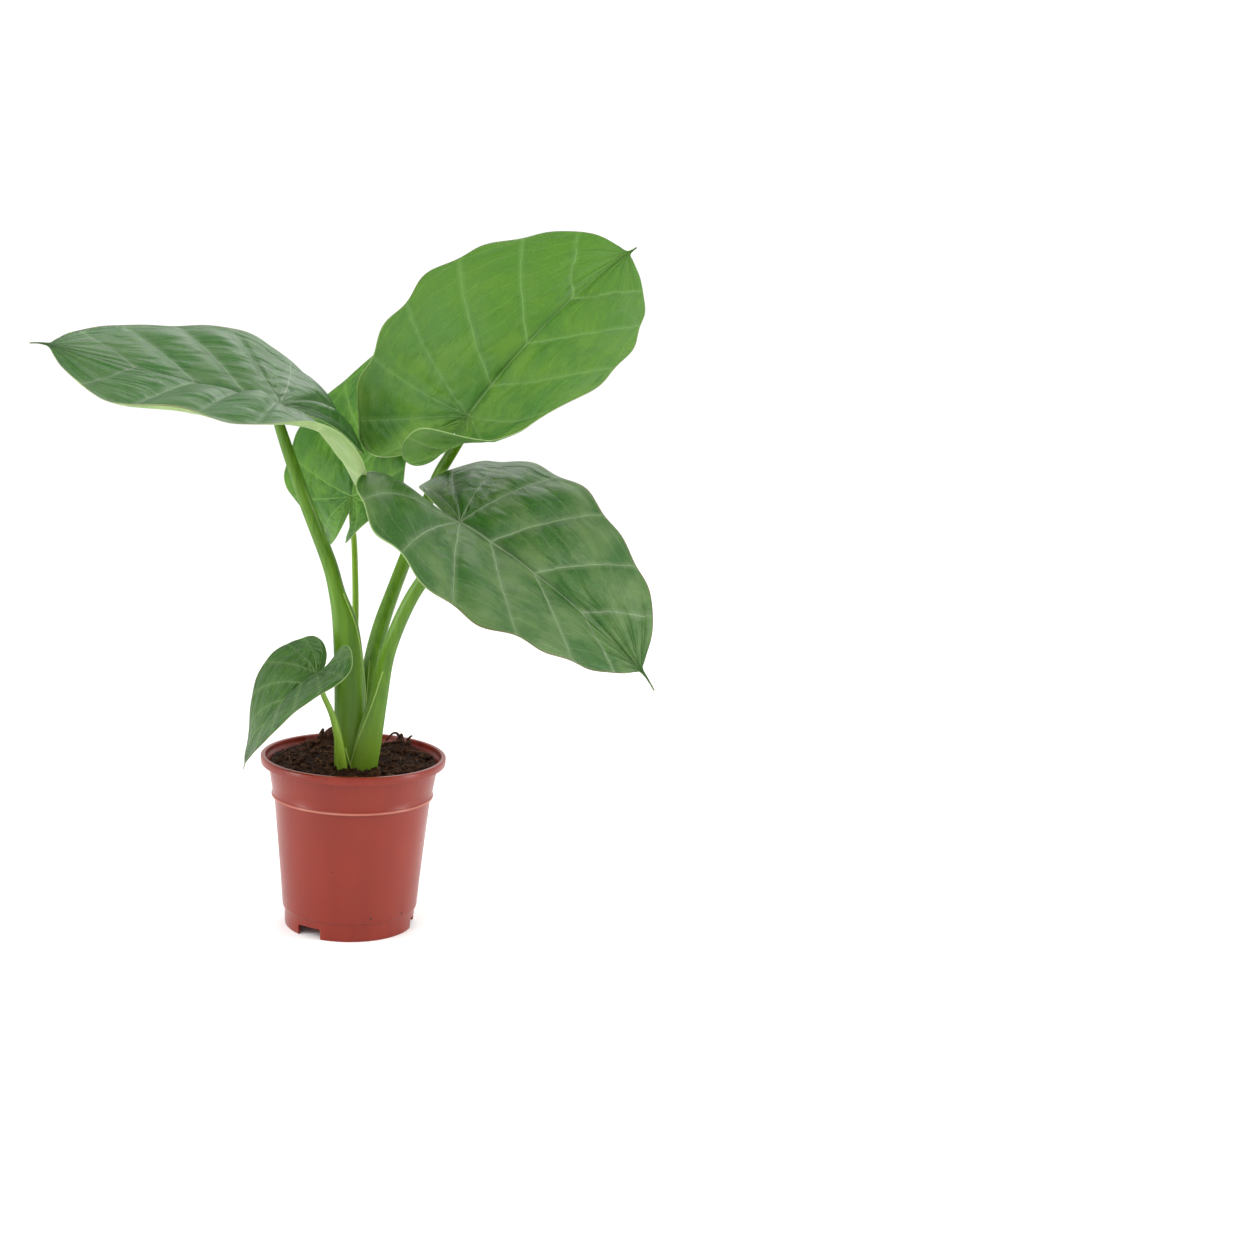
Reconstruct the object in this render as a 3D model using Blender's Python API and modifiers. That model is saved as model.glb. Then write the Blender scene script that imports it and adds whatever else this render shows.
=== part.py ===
"""Potted giant taro: a nursery pot filled with soil, a corm with roots, five stalks and five heart-shaped blades.

Metres, +Z up. The origin is on the pot's axis, on the ground. +X is the plant's right, -Y its front.
"""
import math

import bmesh
import bpy
import numpy as np
from mathutils import Vector, noise

for old in list(bpy.data.objects):
    bpy.data.objects.remove(old, do_unlink=True)

MM = 0.001

# Driving dimensions of the pot
RIM_R = 60.0 * MM
POT_H = 114.0 * MM
LIP_H = 5.4 * MM
NECK_R = 54.8 * MM
RIDGE_R = 51.5 * MM
RIDGE_Z = 87.0 * MM
WAIST_R = 43.9 * MM
WAIST_Z = 12.8 * MM
FOOT_R = 42.2 * MM
FOOT_WALL = 1.8 * MM
FLOOR_Z = 7.6 * MM
WALL = 1.2 * MM
POT_STEPS = 60
NOTCH_W = 18.0 * MM
NOTCH_H = 7.0 * MM
NOTCH_ANGLES = (-128.0, -8.0, 112.0)
DRAIN_R = 4.0 * MM
DRAIN_AT = 27.0 * MM

# Soil, corm and roots
GAP = 0.3 * MM
SOIL_TOP = 107.5 * MM
CROWN = (0.0, -11.0 * MM)
CROWN_HALF = (17.5 * MM, 15.6 * MM)
STALK_FOOT = 98.0 * MM
CORM_TOP = STALK_FOOT - GAP
CORM_LOW = 58.0 * MM
CORM_R = 14.0 * MM

# Blades
BLADE = 0.8 * MM
RIB = 2.2 * MM
DRIP = 0.8 * MM
RAYS = 24
STEPS = 5
VEIN_RAYS = (0, 5, 9, 12, 15, 18, 21, 24)


def material(name, colour, roughness):
    mat = bpy.data.materials.new(name)
    mat.use_nodes = True
    shader = mat.node_tree.nodes["Principled BSDF"]
    shader.inputs["Base Color"].default_value = (*colour, 1.0)
    shader.inputs["Roughness"].default_value = roughness
    shader.inputs["Metallic"].default_value = 0.0
    return mat


TERRACOTTA = material("terracotta plastic", (0.30, 0.075, 0.050), 0.42)
SOIL = material("peat soil", (0.030, 0.018, 0.012), 0.95)
CORM = material("corm", (0.20, 0.11, 0.05), 0.80)
STALK = material("stalk green", (0.13, 0.29, 0.03), 0.45)
LEAF = material("leaf green", (0.07, 0.19, 0.03), 0.42)

plant = bpy.data.collections.new("potted giant taro")
cutters = bpy.data.collections.new("cutters")
bpy.context.scene.collection.children.link(plant)
bpy.context.scene.collection.children.link(cutters)


def add(name, data, mat, collection=plant):
    """Put a mesh or curve in the model as one named object."""
    obj = bpy.data.objects.new(name, data)
    collection.objects.link(obj)
    if mat is not None:
        data.materials.append(mat)
    if collection is cutters:
        obj.hide_render = True
        obj.display_type = "WIRE"
    return obj


def smooth(obj, degrees=35.0):
    obj.data.shade_smooth()
    obj.data.set_sharp_from_angle(angle=math.radians(degrees))


def as_mesh(obj, weld=0.00002):
    """Turn an object into a plain mesh object of the same name, with its modifiers applied."""
    bpy.context.view_layer.update()
    graph = bpy.context.evaluated_depsgraph_get()
    mesh = bpy.data.meshes.new_from_object(obj.evaluated_get(graph))
    bm = bmesh.new()
    bm.from_mesh(mesh)
    bmesh.ops.remove_doubles(bm, verts=bm.verts, dist=weld)
    bmesh.ops.recalc_face_normals(bm, faces=bm.faces)
    bm.to_mesh(mesh)
    bm.free()
    name = obj.name
    collection = obj.users_collection[0]
    place = obj.matrix_world.copy()
    bpy.data.objects.remove(obj, do_unlink=True)
    new = add(name, mesh, None, collection)
    new.matrix_world = place
    return new


def boolean(obj, other, operation="DIFFERENCE"):
    mod = obj.modifiers.new(operation.lower() + " " + other.name, "BOOLEAN")
    mod.operation = operation
    mod.object = other
    mod.solver = "EXACT"


def turned(name, profile, steps, mat, collection=plant):
    """A profile of (radius, height) points turned about Z."""
    mesh = bpy.data.meshes.new(name)
    bm = bmesh.new()
    verts = [bm.verts.new((r, 0.0, z)) for r, z in profile]
    for a, b in zip(verts, verts[1:]):
        bm.edges.new((a, b))
    if profile[0][0] > 0.0:
        bm.edges.new((verts[-1], verts[0]))
    bm.to_mesh(mesh)
    bm.free()
    obj = add(name, mesh, mat, collection)
    screw = obj.modifiers.new("turn", "SCREW")
    screw.axis = "Z"
    screw.steps = steps
    screw.render_steps = steps
    screw.use_merge_vertices = True
    screw.merge_threshold = 0.00001
    screw.use_normal_calculate = True
    return obj


# The pot's wall
def wall_r(z):
    """The wall's outer radius at a height between the waist and the lip."""
    if z < RIDGE_Z:
        return WAIST_R + (RIDGE_R - 0.6 * MM - WAIST_R) * (z - WAIST_Z) / (RIDGE_Z - WAIST_Z)
    return RIDGE_R + (NECK_R - RIDGE_R) * (z - RIDGE_Z) / (POT_H - LIP_H - RIDGE_Z)


LIP_Z = POT_H - LIP_H
MOUTH_R = RIM_R - 3.2 * MM
pot_profile = [
    (RIM_R - 0.9 * MM, POT_H),
    (RIM_R, POT_H - 0.9 * MM),
    (RIM_R - 0.1 * MM, LIP_Z + 0.6 * MM),
    (RIM_R - 0.7 * MM, LIP_Z),
    (NECK_R + 0.6 * MM, LIP_Z),
    (NECK_R, LIP_Z - 0.6 * MM),
    (RIDGE_R, RIDGE_Z + 0.5 * MM),
    (RIDGE_R, RIDGE_Z),
    (RIDGE_R - 0.6 * MM, RIDGE_Z - 0.4 * MM),
    (WAIST_R, WAIST_Z),
    (FOOT_R + 0.4 * MM, WAIST_Z - 1.2 * MM),
    (FOOT_R, 0.0),
    (FOOT_R - FOOT_WALL, 0.0),
    (FOOT_R - FOOT_WALL, FLOOR_Z - 0.6 * MM),
    (FOOT_R - FOOT_WALL - 0.6 * MM, FLOOR_Z),
    (0.0, FLOOR_Z),
    (0.0, FLOOR_Z + WALL),
    (WAIST_R - WALL - 1.2 * MM, FLOOR_Z + WALL),
    (WAIST_R - WALL, WAIST_Z),
    (RIDGE_R - 0.6 * MM - WALL, RIDGE_Z - 0.4 * MM),
    (RIDGE_R - WALL, RIDGE_Z + 0.5 * MM),
    (NECK_R - WALL, LIP_Z - 2.0 * MM),
    (MOUTH_R - 0.3 * MM, LIP_Z + 1.8 * MM),
    (MOUTH_R, POT_H - 0.7 * MM),
    (MOUTH_R + 0.7 * MM, POT_H),
]
pot = turned("pot", pot_profile, POT_STEPS, TERRACOTTA)

for number, angle in enumerate(NOTCH_ANGLES):
    turn = math.radians(angle)
    bm = bmesh.new()
    bmesh.ops.create_cube(bm, size=1.0)
    bmesh.ops.scale(bm, vec=(14.0 * MM, NOTCH_W, NOTCH_H + 2.0 * MM), verts=bm.verts)
    mesh = bpy.data.meshes.new("notch")
    bm.to_mesh(mesh)
    bm.free()
    notch = add("notch " + str(number), mesh, None, cutters)
    notch.location = (FOOT_R * math.cos(turn), FOOT_R * math.sin(turn), NOTCH_H / 2.0 - MM)
    notch.rotation_euler = (0.0, 0.0, turn)
    boolean(pot, notch)
    bm = bmesh.new()
    bmesh.ops.create_cone(bm, cap_ends=True, segments=20, radius1=DRAIN_R, radius2=DRAIN_R, depth=6.0 * MM)
    mesh = bpy.data.meshes.new("drain")
    bm.to_mesh(mesh)
    bm.free()
    drain = add("drain " + str(number), mesh, None, cutters)
    turn += math.radians(60.0)
    drain.location = (DRAIN_AT * math.cos(turn), DRAIN_AT * math.sin(turn), FLOOR_Z + 0.6 * MM)
    boolean(pot, drain)
smooth(pot)


# Blades. The half outline is in shares of the length: x along the midrib from the joint, y across it.
HALF = (
    (-0.020, 0.000), (-0.100, 0.030), (-0.230, 0.085), (-0.345, 0.165), (-0.375, 0.265), (-0.300, 0.375),
    (-0.120, 0.455), (0.110, 0.480), (0.340, 0.445), (0.560, 0.350), (0.750, 0.225), (0.890, 0.105),
    (0.965, 0.030), (1.000, 0.010), (1.055, 0.003), (1.110, 0.000),
)


def outline(share):
    """Points on the half outline at shares 0 to 1 of its run, through a smooth curve."""
    points = np.array(HALF)
    count = len(points) - 1
    where = np.clip(np.asarray(share, float), 0.0, 1.0) * count
    k = np.minimum(where.astype(int), count - 1)
    t = (where - k)[:, None]
    a, b = points[k], points[k + 1]
    before = points[np.maximum(k - 1, 0)]
    after = points[np.minimum(k + 2, count)]
    out = 0.5 * (2 * a + (b - before) * t + (2 * before - 5 * a + 4 * b - after) * t ** 2
                 + (3 * a - before - 3 * b + after) * t ** 3)
    out[:, 1] = np.maximum(out[:, 1], 0.0)
    return out


def blend(three, x):
    """A value given at the lobe's end, at the joint and near the tip, blended along the midrib."""
    low = np.clip((x + 0.35) / 0.45, 0.0, 1.0)
    high = np.clip((x - 0.10) / 0.80, 0.0, 1.0)
    low = low * low * (3 - 2 * low)
    high = high * high * (3 - 2 * high)
    return three[0] + (three[1] - three[0]) * low + (three[2] - three[1]) * high


def leaf_axes(leaf):
    """Ahead along the midrib, to the left, and up out of the upper face, at the joint."""
    az, pitch, roll = (math.radians(leaf[key]) for key in ("heading", "pitch", "roll"))
    ahead = np.array([math.cos(az) * math.cos(pitch), math.sin(az) * math.cos(pitch), math.sin(pitch)])
    level = np.array([-math.sin(az), math.cos(az), 0.0])
    over = np.cross(ahead, level)
    return ahead, math.cos(roll) * level + math.sin(roll) * over, math.cos(roll) * over - math.sin(roll) * level


def thicknesses(leaf):
    """The blade's thickness at the midrib's root and between the ribs. A small leaf is thinner."""
    share = min(1.0, leaf["length"] / (145.0 * MM))
    return RIB * share, BLADE * (0.6 + 0.4 * share)


def blade_points(leaf, side, x, y, lift):
    """World points of the upper face. side is 1 for the left half and -1 for the right one, seen from the joint."""
    size = leaf["length"]
    x = np.where(x > 1.0, 1.0 + (x - 1.0) * leaf["drip"], x)
    lobe = leaf["lobe"][0 if side > 0 else 1]
    fold = np.radians(blend(leaf["fold_left" if side > 0 else "fold_right"], x))
    curl = np.radians(blend(leaf["curl_left" if side > 0 else "curl_right"], x))
    x = np.where(x < 0.0, x * lobe, x)
    out = y * leaf["width"] * size
    rate = curl / (0.48 * leaf["width"] * size)
    rate = np.where(np.abs(rate) < 1e-6, 1e-6, rate)
    lean = fold + rate * out
    across = (np.sin(lean) - np.sin(fold)) / rate - np.sin(lean) * lift
    above = (np.cos(fold) - np.cos(lean)) / rate + np.cos(lean) * lift
    s = x * size
    bend = np.radians(np.where(s >= 0.0, -leaf["arch"], leaf["back"] / 0.4)) / size
    bend = np.where(np.abs(bend) < 1e-6, 1e-6, bend)
    slope = bend * s
    ahead = np.sin(slope) / bend
    rise = (1.0 - np.cos(slope)) / bend
    twist = np.radians(leaf["twist"]) * np.clip(x, -0.4, 1.0)
    left = across * side * np.cos(twist) - above * np.sin(twist)
    over = across * side * np.sin(twist) + above * np.cos(twist)
    tip = np.clip(x - 1.0, 0.0, None) / 0.11
    forward = ahead - over * np.sin(slope)
    sideways = left + np.radians(leaf["sweep"]) * size * np.where(x > 0.0, x, 0.0) ** 2 * 0.5
    upward = rise + over * np.cos(slope) - leaf["droop"] * tip ** 2
    ahead_axis, left_axis, up_axis = leaf_axes(leaf)
    return (np.array(leaf["joint"]) + forward[:, None] * ahead_axis + sideways[:, None] * left_axis
            + upward[:, None] * up_axis)


def blade(name, leaf):
    """A heart-shaped blade: rays from the midrib to the margin on both halves, thickened downwards with ribs."""
    bm = bmesh.new()
    weight = bm.verts.layers.deform.verify()
    edge = outline(np.arange(RAYS + 1) / RAYS)
    edge[-5:, 1] = np.maximum(edge[-5:, 1], DRIP / (leaf["width"] * leaf["length"]))
    start = np.where(edge[:, 0] < 1.0, np.clip((edge[:, 0] - 0.22) / 0.78, 0.0, 1.0) ** 1.5, edge[:, 0])
    full, skin = thicknesses(leaf)
    known = {}
    grids = {}
    for side in (1, -1):
        for i in range(RAYS + 1):
            low = max(v for v in VEIN_RAYS if v <= i)
            high = min(v for v in VEIN_RAYS if v >= i)
            between = 0.0 if low == high else (i - low) / (high - low)
            reach = leaf["length"] * math.hypot(edge[i, 0] - start[i], edge[i, 1] * leaf["width"])
            for j in range(STEPS + 1):
                v = j / STEPS if reach > 5.0 * MM else min(1.0, j)
                x = start[i] + (edge[i, 0] - start[i]) * v
                y = edge[i, 1] * v
                puff = 0.0
                if 0.0 < v < 0.87:
                    puff = leaf["quilt"] * math.sin(math.pi * between) ** 2 * math.sin(math.pi * v * 1.15) ** 0.8
                    puff *= min(1.0, edge[i, 1] * 2.2)
                wave = leaf["wave"] * v ** 3 * math.sin(i * 1.35 + leaf["phase"] + side) * min(1.0, edge[i, 1] * 2.2)
                near = min(1.0, abs(x) * 8.0)
                if y == 0.0:
                    key = (round(x, 6), 0.0)
                else:
                    key = (round(x, 6), round(side * y, 6))
                if key not in known:
                    spot = blade_points(leaf, side, np.array([x]), np.array([y]), np.array([puff * near + wave]))[0]
                    vert = bm.verts.new(spot)
                    rib = full * (1.0 - 0.62 * x) if y == 0.0 and 0.0 <= x < 0.97 else skin
                    if y > 0.0 and i in VEIN_RAYS[1:-1]:
                        rib = skin + (full - skin) * 0.45 * (1.0 - v) ** 1.2
                    vert[weight][0] = max(skin, rib) / full
                    known[key] = vert
                grids[side, i, j] = known[key]
    for side in (1, -1):
        for i in range(RAYS):
            for j in range(STEPS):
                corners = (grids[side, i, j], grids[side, i, j + 1], grids[side, i + 1, j + 1], grids[side, i + 1, j])
                for tri in ((0, 1, 2), (0, 2, 3)):
                    face = [corners[c] for c in tri]
                    if len(set(face)) == 3:
                        if side > 0:
                            face.reverse()
                        bm.faces.new(face)
    mesh = bpy.data.meshes.new(name)
    bm.to_mesh(mesh)
    bm.free()
    obj = add(name, mesh, LEAF)
    obj.vertex_groups.new(name="thickness")
    solid = obj.modifiers.new("blade thickness", "SOLIDIFY")
    solid.thickness = full
    solid.offset = -1.0
    solid.vertex_group = "thickness"
    solid.use_quality_normals = True
    smooth(obj, 60.0)
    return obj


LEAVES = {
    "blade_left": dict(
        joint=(-52 * MM, -5 * MM, 340 * MM), length=143 * MM, width=1.21, lobe=(1.35, 1.35), heading=193, pitch=13,
        roll=-5, arch=-1, back=-38, twist=-24, fold_left=(-22, 15, -25), curl_left=(-29, -31, 52),
        fold_right=(27, 20, 1), curl_right=(-25, -4, -10), sweep=1, drip=0.45, droop=3 * MM, quilt=2.2 * MM, wave=1.2 * MM,
        phase=0.4, stalk=3.0 * MM),
    "blade_top": dict(
        joint=(67 * MM, 15 * MM, 336 * MM), length=161 * MM, width=1.16, lobe=(0.94, 0.94), heading=0, pitch=56,
        roll=53, arch=41, back=20, twist=25, fold_left=(-7, 13, 9), curl_left=(18, -20, -47),
        fold_right=(52, 16, 25), curl_right=(52, 44, -9), sweep=6, drip=0.5, droop=-2 * MM, quilt=1.0 * MM, wave=1.4 * MM,
        phase=1.1, stalk=3.6 * MM),
    "blade_right": dict(
        joint=(62 * MM, -35 * MM, 274 * MM), length=149 * MM, width=1.26, lobe=(0.88, 0.88), heading=-16, pitch=-28,
        roll=31, arch=26, back=-32, twist=13, fold_left=(-19, 6, 20), curl_left=(8, -20, -45),
        fold_right=(75, 21, 37), curl_right=(-121, -4, -31), sweep=5, drip=1.0, droop=3 * MM, quilt=1.4 * MM,
        wave=1.5 * MM, phase=2.3, stalk=3.4 * MM),
    "blade_back": dict(
        joint=(-6 * MM, 78 * MM, 273 * MM), length=111 * MM, width=1.07, lobe=(0.80, 0.80), heading=62, pitch=80,
        roll=-36, arch=23, back=9, twist=4, fold_left=(-2, 29, 10), curl_left=(-12, 4, 4),
        fold_right=(23, 0, 15), curl_right=(-5, -16, -9), sweep=0, drip=0.7, droop=1 * MM, quilt=0.9 * MM, wave=1.3 * MM,
        phase=0.9, stalk=1.8 * MM),
    "blade_small": dict(
        joint=(-25 * MM, -35 * MM, 175 * MM), length=73 * MM, width=1.14, lobe=(0.90, 0.90), heading=205, pitch=-27,
        roll=4, arch=43, back=25, twist=3, fold_left=(17, 9, 10), curl_left=(-30, -16, -16),
        fold_right=(25, 24, -6), curl_right=(-8, -4, -11), sweep=0, drip=0.5, droop=1 * MM, quilt=0.3 * MM, wave=0.2 * MM,
        phase=1.7, stalk=1.4 * MM),
}
for name, leaf in LEAVES.items():
    blade(name, leaf)


# Stalks. Each is a row of stations (x, y, z, half width, half depth), in mm, from under its blade down past the corm's
# top. The stations next to the blade follow from the leaf, so that the stalk's end lies along the blade's underside.
def stations(name, rows):
    """A smooth run of stations through the given ones, after those next to the blade called name, if there is one."""
    rows = np.array(rows, float) * MM
    if name in LEAVES:
        leaf = LEAVES[name]
        normal = leaf_axes(leaf)[2]
        top = []
        start = thicknesses(leaf)[0] + 1.6 * GAP
        for drop in (start, start + 3.0 * MM):
            top.append(list(np.array(leaf["joint"]) - normal * drop) + [leaf["stalk"], leaf["stalk"]])
        rows = np.vstack([np.array(top), rows])
    count = len(rows)
    out = []
    for k in range(count - 1):
        before = rows[max(k - 1, 0)]
        after = rows[min(k + 2, count - 1)]
        for t in ((0.0, 0.5) if k else (0.0,)):
            a, b = rows[k], rows[k + 1]
            out.append(0.5 * (2 * a + (b - before) * t + (2 * before - 5 * a + 4 * b - after) * t * t
                              + (3 * a - before - 3 * b + after) * t ** 3))
    out.append(rows[-1])
    return np.array(out)


def tube(name, blade_name, rows, grow, mat, collection):
    """A round tapered stalk as a curve with a bevel, made a mesh so that its neighbours can be cut clear of it."""
    line = stations(blade_name, rows)
    curve = bpy.data.curves.new(name, "CURVE")
    curve.dimensions = "3D"
    curve.bevel_depth = 1.0
    curve.bevel_resolution = 3
    curve.use_fill_caps = True
    spline = curve.splines.new("POLY")
    spline.points.add(len(line) - 1)
    for point, row in zip(spline.points, line):
        point.co = (row[0], row[1], row[2], 1.0)
        point.radius = row[3] + grow
    return as_mesh(add(name, curve, mat, collection))


def loft(name, blade_name, rows, grow, mat, collection):
    """A stalk whose base widens into a flat sheath: elliptical sections, one above the other."""
    line = stations(blade_name, rows)
    sides = 16
    mesh = bpy.data.meshes.new(name)
    bm = bmesh.new()
    rings = []
    for k, row in enumerate(line):
        ahead = line[min(k + 1, len(line) - 1)][:3]
        behind = line[max(k - 1, 0)][:3]
        if k == 0:
            ahead = line[1][:3]
        along = Vector(behind - ahead).normalized()
        across = (Vector((1.0, 0.0, 0.0)) - along * along.x).normalized()
        depth = along.cross(across)
        ring = []
        for s in range(sides):
            a = 2.0 * math.pi * s / sides
            ring.append(bm.verts.new(Vector(row[:3]) + across * (row[3] + grow) * math.cos(a)
                                     + depth * (row[4] + grow) * math.sin(a)))
        rings.append(ring)
    for upper, lower in zip(rings, rings[1:]):
        for s in range(sides):
            n = (s + 1) % sides
            bm.faces.new((upper[s], lower[s], lower[n], upper[n]))
    bm.faces.new(rings[0])
    bm.faces.new(list(reversed(rings[-1])))
    bmesh.ops.recalc_face_normals(bm, faces=bm.faces)
    bm.to_mesh(mesh)
    bm.free()
    return add(name, mesh, mat, collection)


STALKS = {
    "stalk_right": (loft, "blade_right", [
        (50.2, -34.0, 254.3, 3.9, 3.9), (40.7, -34.0, 237.5, 4.2, 4.2), (32.5, -32.5, 222.8, 4.4, 4.4),
        (24.4, -29.5, 202.8, 4.6, 4.6), (18.7, -26.0, 182.6, 4.9, 4.8), (14.2, -22.5, 155.3, 6.2, 4.6),
        (9.6, -19.0, 130.0, 8.2, 4.4), (6.2, -17.6, 108.0, 8.8, 4.2), (5.0, -17.0, 92.0, 8.2, 4.0)]),
    "stalk_small": (tube, "blade_small", [
        (-20.2, -32.0, 160.5, 1.7, 1.7), (-14.6, -29.5, 147.6, 2.0, 2.0), (-10.6, -26.5, 133.0, 2.6, 2.6),
        (-8.2, -23.0, 118.0, 3.2, 3.2), (-6.8, -20.0, 106.0, 3.5, 3.5), (-5.8, -18.4, 92.0, 3.5, 3.5)]),
    "stalk_left": (loft, "blade_left", [
        (-50.5, -4.0, 322.6, 3.5, 3.5), (-35.0, -4.5, 280.2, 4.3, 4.3), (-19.6, -5.5, 242.4, 4.8, 4.8),
        (-13.4, -6.5, 221.3, 5.4, 5.2), (-7.2, -8.0, 197.8, 8.4, 5.0), (-3.6, -9.5, 161.5, 10.0, 5.0),
        (-2.4, -10.0, 133.0, 10.6, 5.0), (-1.6, -10.5, 108.0, 10.8, 4.8), (-1.2, -10.5, 92.0, 10.4, 4.6)]),
    "stalk_top": (tube, "blade_top", [
        (57.8, 34.0, 309.2, 3.7, 3.7), (49.8, 42.0, 292.4, 4.0, 4.0), (39.8, 43.0, 264.0, 4.2, 4.2),
        (29.6, 36.0, 236.2, 4.5, 4.5), (22.4, 28.0, 216.8, 4.7, 4.7), (15.8, 19.0, 197.8, 5.2, 5.2),
        (10.9, 9.5, 177.7, 5.6, 5.6), (6.6, 2.0, 150.7, 5.6, 5.6), (4.0, -2.6, 125.5, 5.2, 5.2), (3.0, -4.0, 92.0, 5.0, 5.0)]),
    "stalk_back": (tube, "blade_back", [
        (-5.8, 81.0, 262.0, 1.9, 1.9), (-3.4, 66.0, 240.0, 2.0, 2.0), (-1.5, 37.0, 201.9, 2.2, 2.2),
        (-2.4, 19.0, 176.0, 2.5, 2.5), (-5.0, 7.0, 149.7, 2.9, 2.9), (-6.2, 0.5, 124.4, 3.2, 3.2),
        (-6.5, -3.0, 92.0, 3.4, 3.4)]),
}

# All feet are level, and each stalk is cut clear of those that wrap in front of it.
bm = bmesh.new()
bmesh.ops.create_cube(bm, size=40.0 * MM)
mesh = bpy.data.meshes.new("level")
bm.to_mesh(mesh)
bm.free()
level = add("level", mesh, None, cutters)
level.location = (CROWN[0], CROWN[1], STALK_FOOT - 20.0 * MM)
earlier = []
for name, (make, blade_name, rows) in STALKS.items():
    stalk = make(name, blade_name, rows, 0.0, STALK, plant)
    boolean(stalk, level)
    for cutter in earlier:
        boolean(stalk, cutter)
    smooth(stalk, 50.0)
    earlier.append(make(name + " clearance", blade_name, rows, GAP * 1.2, None, cutters))


# The corm under the stalks, with its thick roots
def corm_profile(grow):
    span = CORM_TOP - CORM_LOW
    return [
        (0.0, CORM_TOP + grow),
        (CORM_R * 0.86 + grow, CORM_TOP + grow),
        (CORM_R + grow, CORM_TOP - span * 0.10),
        (CORM_R * 0.97 + grow, CORM_TOP - span * 0.45),
        (CORM_R * 0.72 + grow, CORM_TOP - span * 0.80),
        (CORM_R * 0.30 + grow, CORM_LOW - grow),
        (0.0, CORM_LOW - grow),
    ]


def roots(grow, mat, collection):
    made = []
    for number in range(5):
        a = math.radians(72.0 * number + 20.0)
        reach = (9.0, 17.0, 24.0, 28.0)
        drop = (70.0, 60.0, 44.0, 26.0)
        rows = []
        for k in range(4):
            bend = a + 0.12 * k * (-1) ** number
            rows.append((CROWN[0] / MM + reach[k] * math.cos(bend), CROWN[1] / MM + reach[k] * math.sin(bend),
                         drop[k] + 1.5 * number, 2.0 - 0.35 * k, 0.0))
        if grow > 0.0:
            rows[-1] = tuple(np.array(rows[-1]) * 1.08 - np.array(rows[-2]) * 0.08)
        made.append(tube("root " + str(number), None, rows, grow, mat, collection))
    return made


corm = as_mesh(turned("corm", corm_profile(0.0), 24, CORM))
corm.data.materials.clear()
corm.data.materials.append(CORM)
corm.location = (CROWN[0], CROWN[1], 0.0)
for root in roots(0.0, None, cutters):
    boolean(corm, root, "UNION")
smooth(corm)

# Soil: it fills the pot, 0.3 mm clear of it, with a crumbly top and a plain hole for the crown
INNER = GAP * 1.3
soil_profile = [(0.0, SOIL_TOP)]
for share in (0.18, 0.36, 0.54, 0.70, 0.86):
    soil_profile.append((share * 52.0 * MM, SOIL_TOP))
soil_profile += [
    (52.6 * MM, SOIL_TOP - 0.3 * MM),
    (NECK_R - WALL - INNER, LIP_Z - 3.0 * MM),
    (RIDGE_R - WALL - INNER, RIDGE_Z + 0.5 * MM),
    (RIDGE_R - 0.6 * MM - WALL - INNER, RIDGE_Z - 0.6 * MM),
    (WAIST_R - WALL - INNER, WAIST_Z + 0.2 * MM),
    (WAIST_R - WALL - 1.2 * MM - INNER, FLOOR_Z + WALL + GAP),
    (0.0, FLOOR_Z + WALL + GAP),
]
soil = as_mesh(turned("soil", soil_profile, POT_STEPS, SOIL))
soil.data.materials.clear()
soil.data.materials.append(SOIL)
for vert in soil.data.vertices:
    x, y, z = vert.co
    r = math.hypot(x, y)
    if z > SOIL_TOP - 0.1 * MM and r < 52.0 * MM:
        fade = min(1.0, (52.0 * MM - r) / (10.0 * MM))
        lump = noise.noise(Vector((x, y, 0.0)) * 90.0) * 2.0 + noise.noise(Vector((x, y, 0.03)) * 210.0) * 1.2
        heap = 2.0 * math.exp(-((x + 33 * MM) ** 2 + (y - 22 * MM) ** 2) / (9 * MM) ** 2)
        heap += 1.8 * math.exp(-((x - 32 * MM) ** 2 + (y - 24 * MM) ** 2) / (8 * MM) ** 2)
        vert.co.z = z + (lump + heap) * MM * fade
bm = bmesh.new()
bmesh.ops.create_cone(bm, cap_ends=True, segments=32, radius1=1.0, radius2=1.0, depth=1.0)
bmesh.ops.scale(bm, vec=(CROWN_HALF[0], CROWN_HALF[1], 30.0 * MM), verts=bm.verts)
mesh = bpy.data.meshes.new("crown hole")
bm.to_mesh(mesh)
bm.free()
hole = add("crown hole", mesh, None, cutters)
hole.location = (CROWN[0], CROWN[1], STALK_FOOT - GAP + 15.0 * MM)
hole.rotation_euler = (0.0, 0.0, math.radians(4.0))
boolean(soil, hole)
corm_room = as_mesh(turned("corm room", corm_profile(GAP), 24, None, cutters))
corm_room.location = (CROWN[0], CROWN[1], 0.0)
boolean(soil, corm_room)
for room in roots(GAP * 1.3, None, cutters):
    boolean(soil, room)
smooth(soil, 50.0)
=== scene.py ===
# %% [markdown]
# # A potted giant taro
# A young giant taro stands in a 12 cm nursery pot. Five heart-shaped blades with hair-fine tips lean out from a tight
# bundle of green stalks, and each stalk's base wraps round the next one. This lesson dresses the plant's solid model.
# The solids hold the places and sizes, and every cell below makes one visible piece or one finish from rules of growth:
# an outline, a row of veins, a bend. Lengths are in metres, +Z is up, and -Y is the plant's front.

import math

import bmesh
import bpy
import numpy as np
from mathutils import Matrix, Vector, noise


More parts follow.
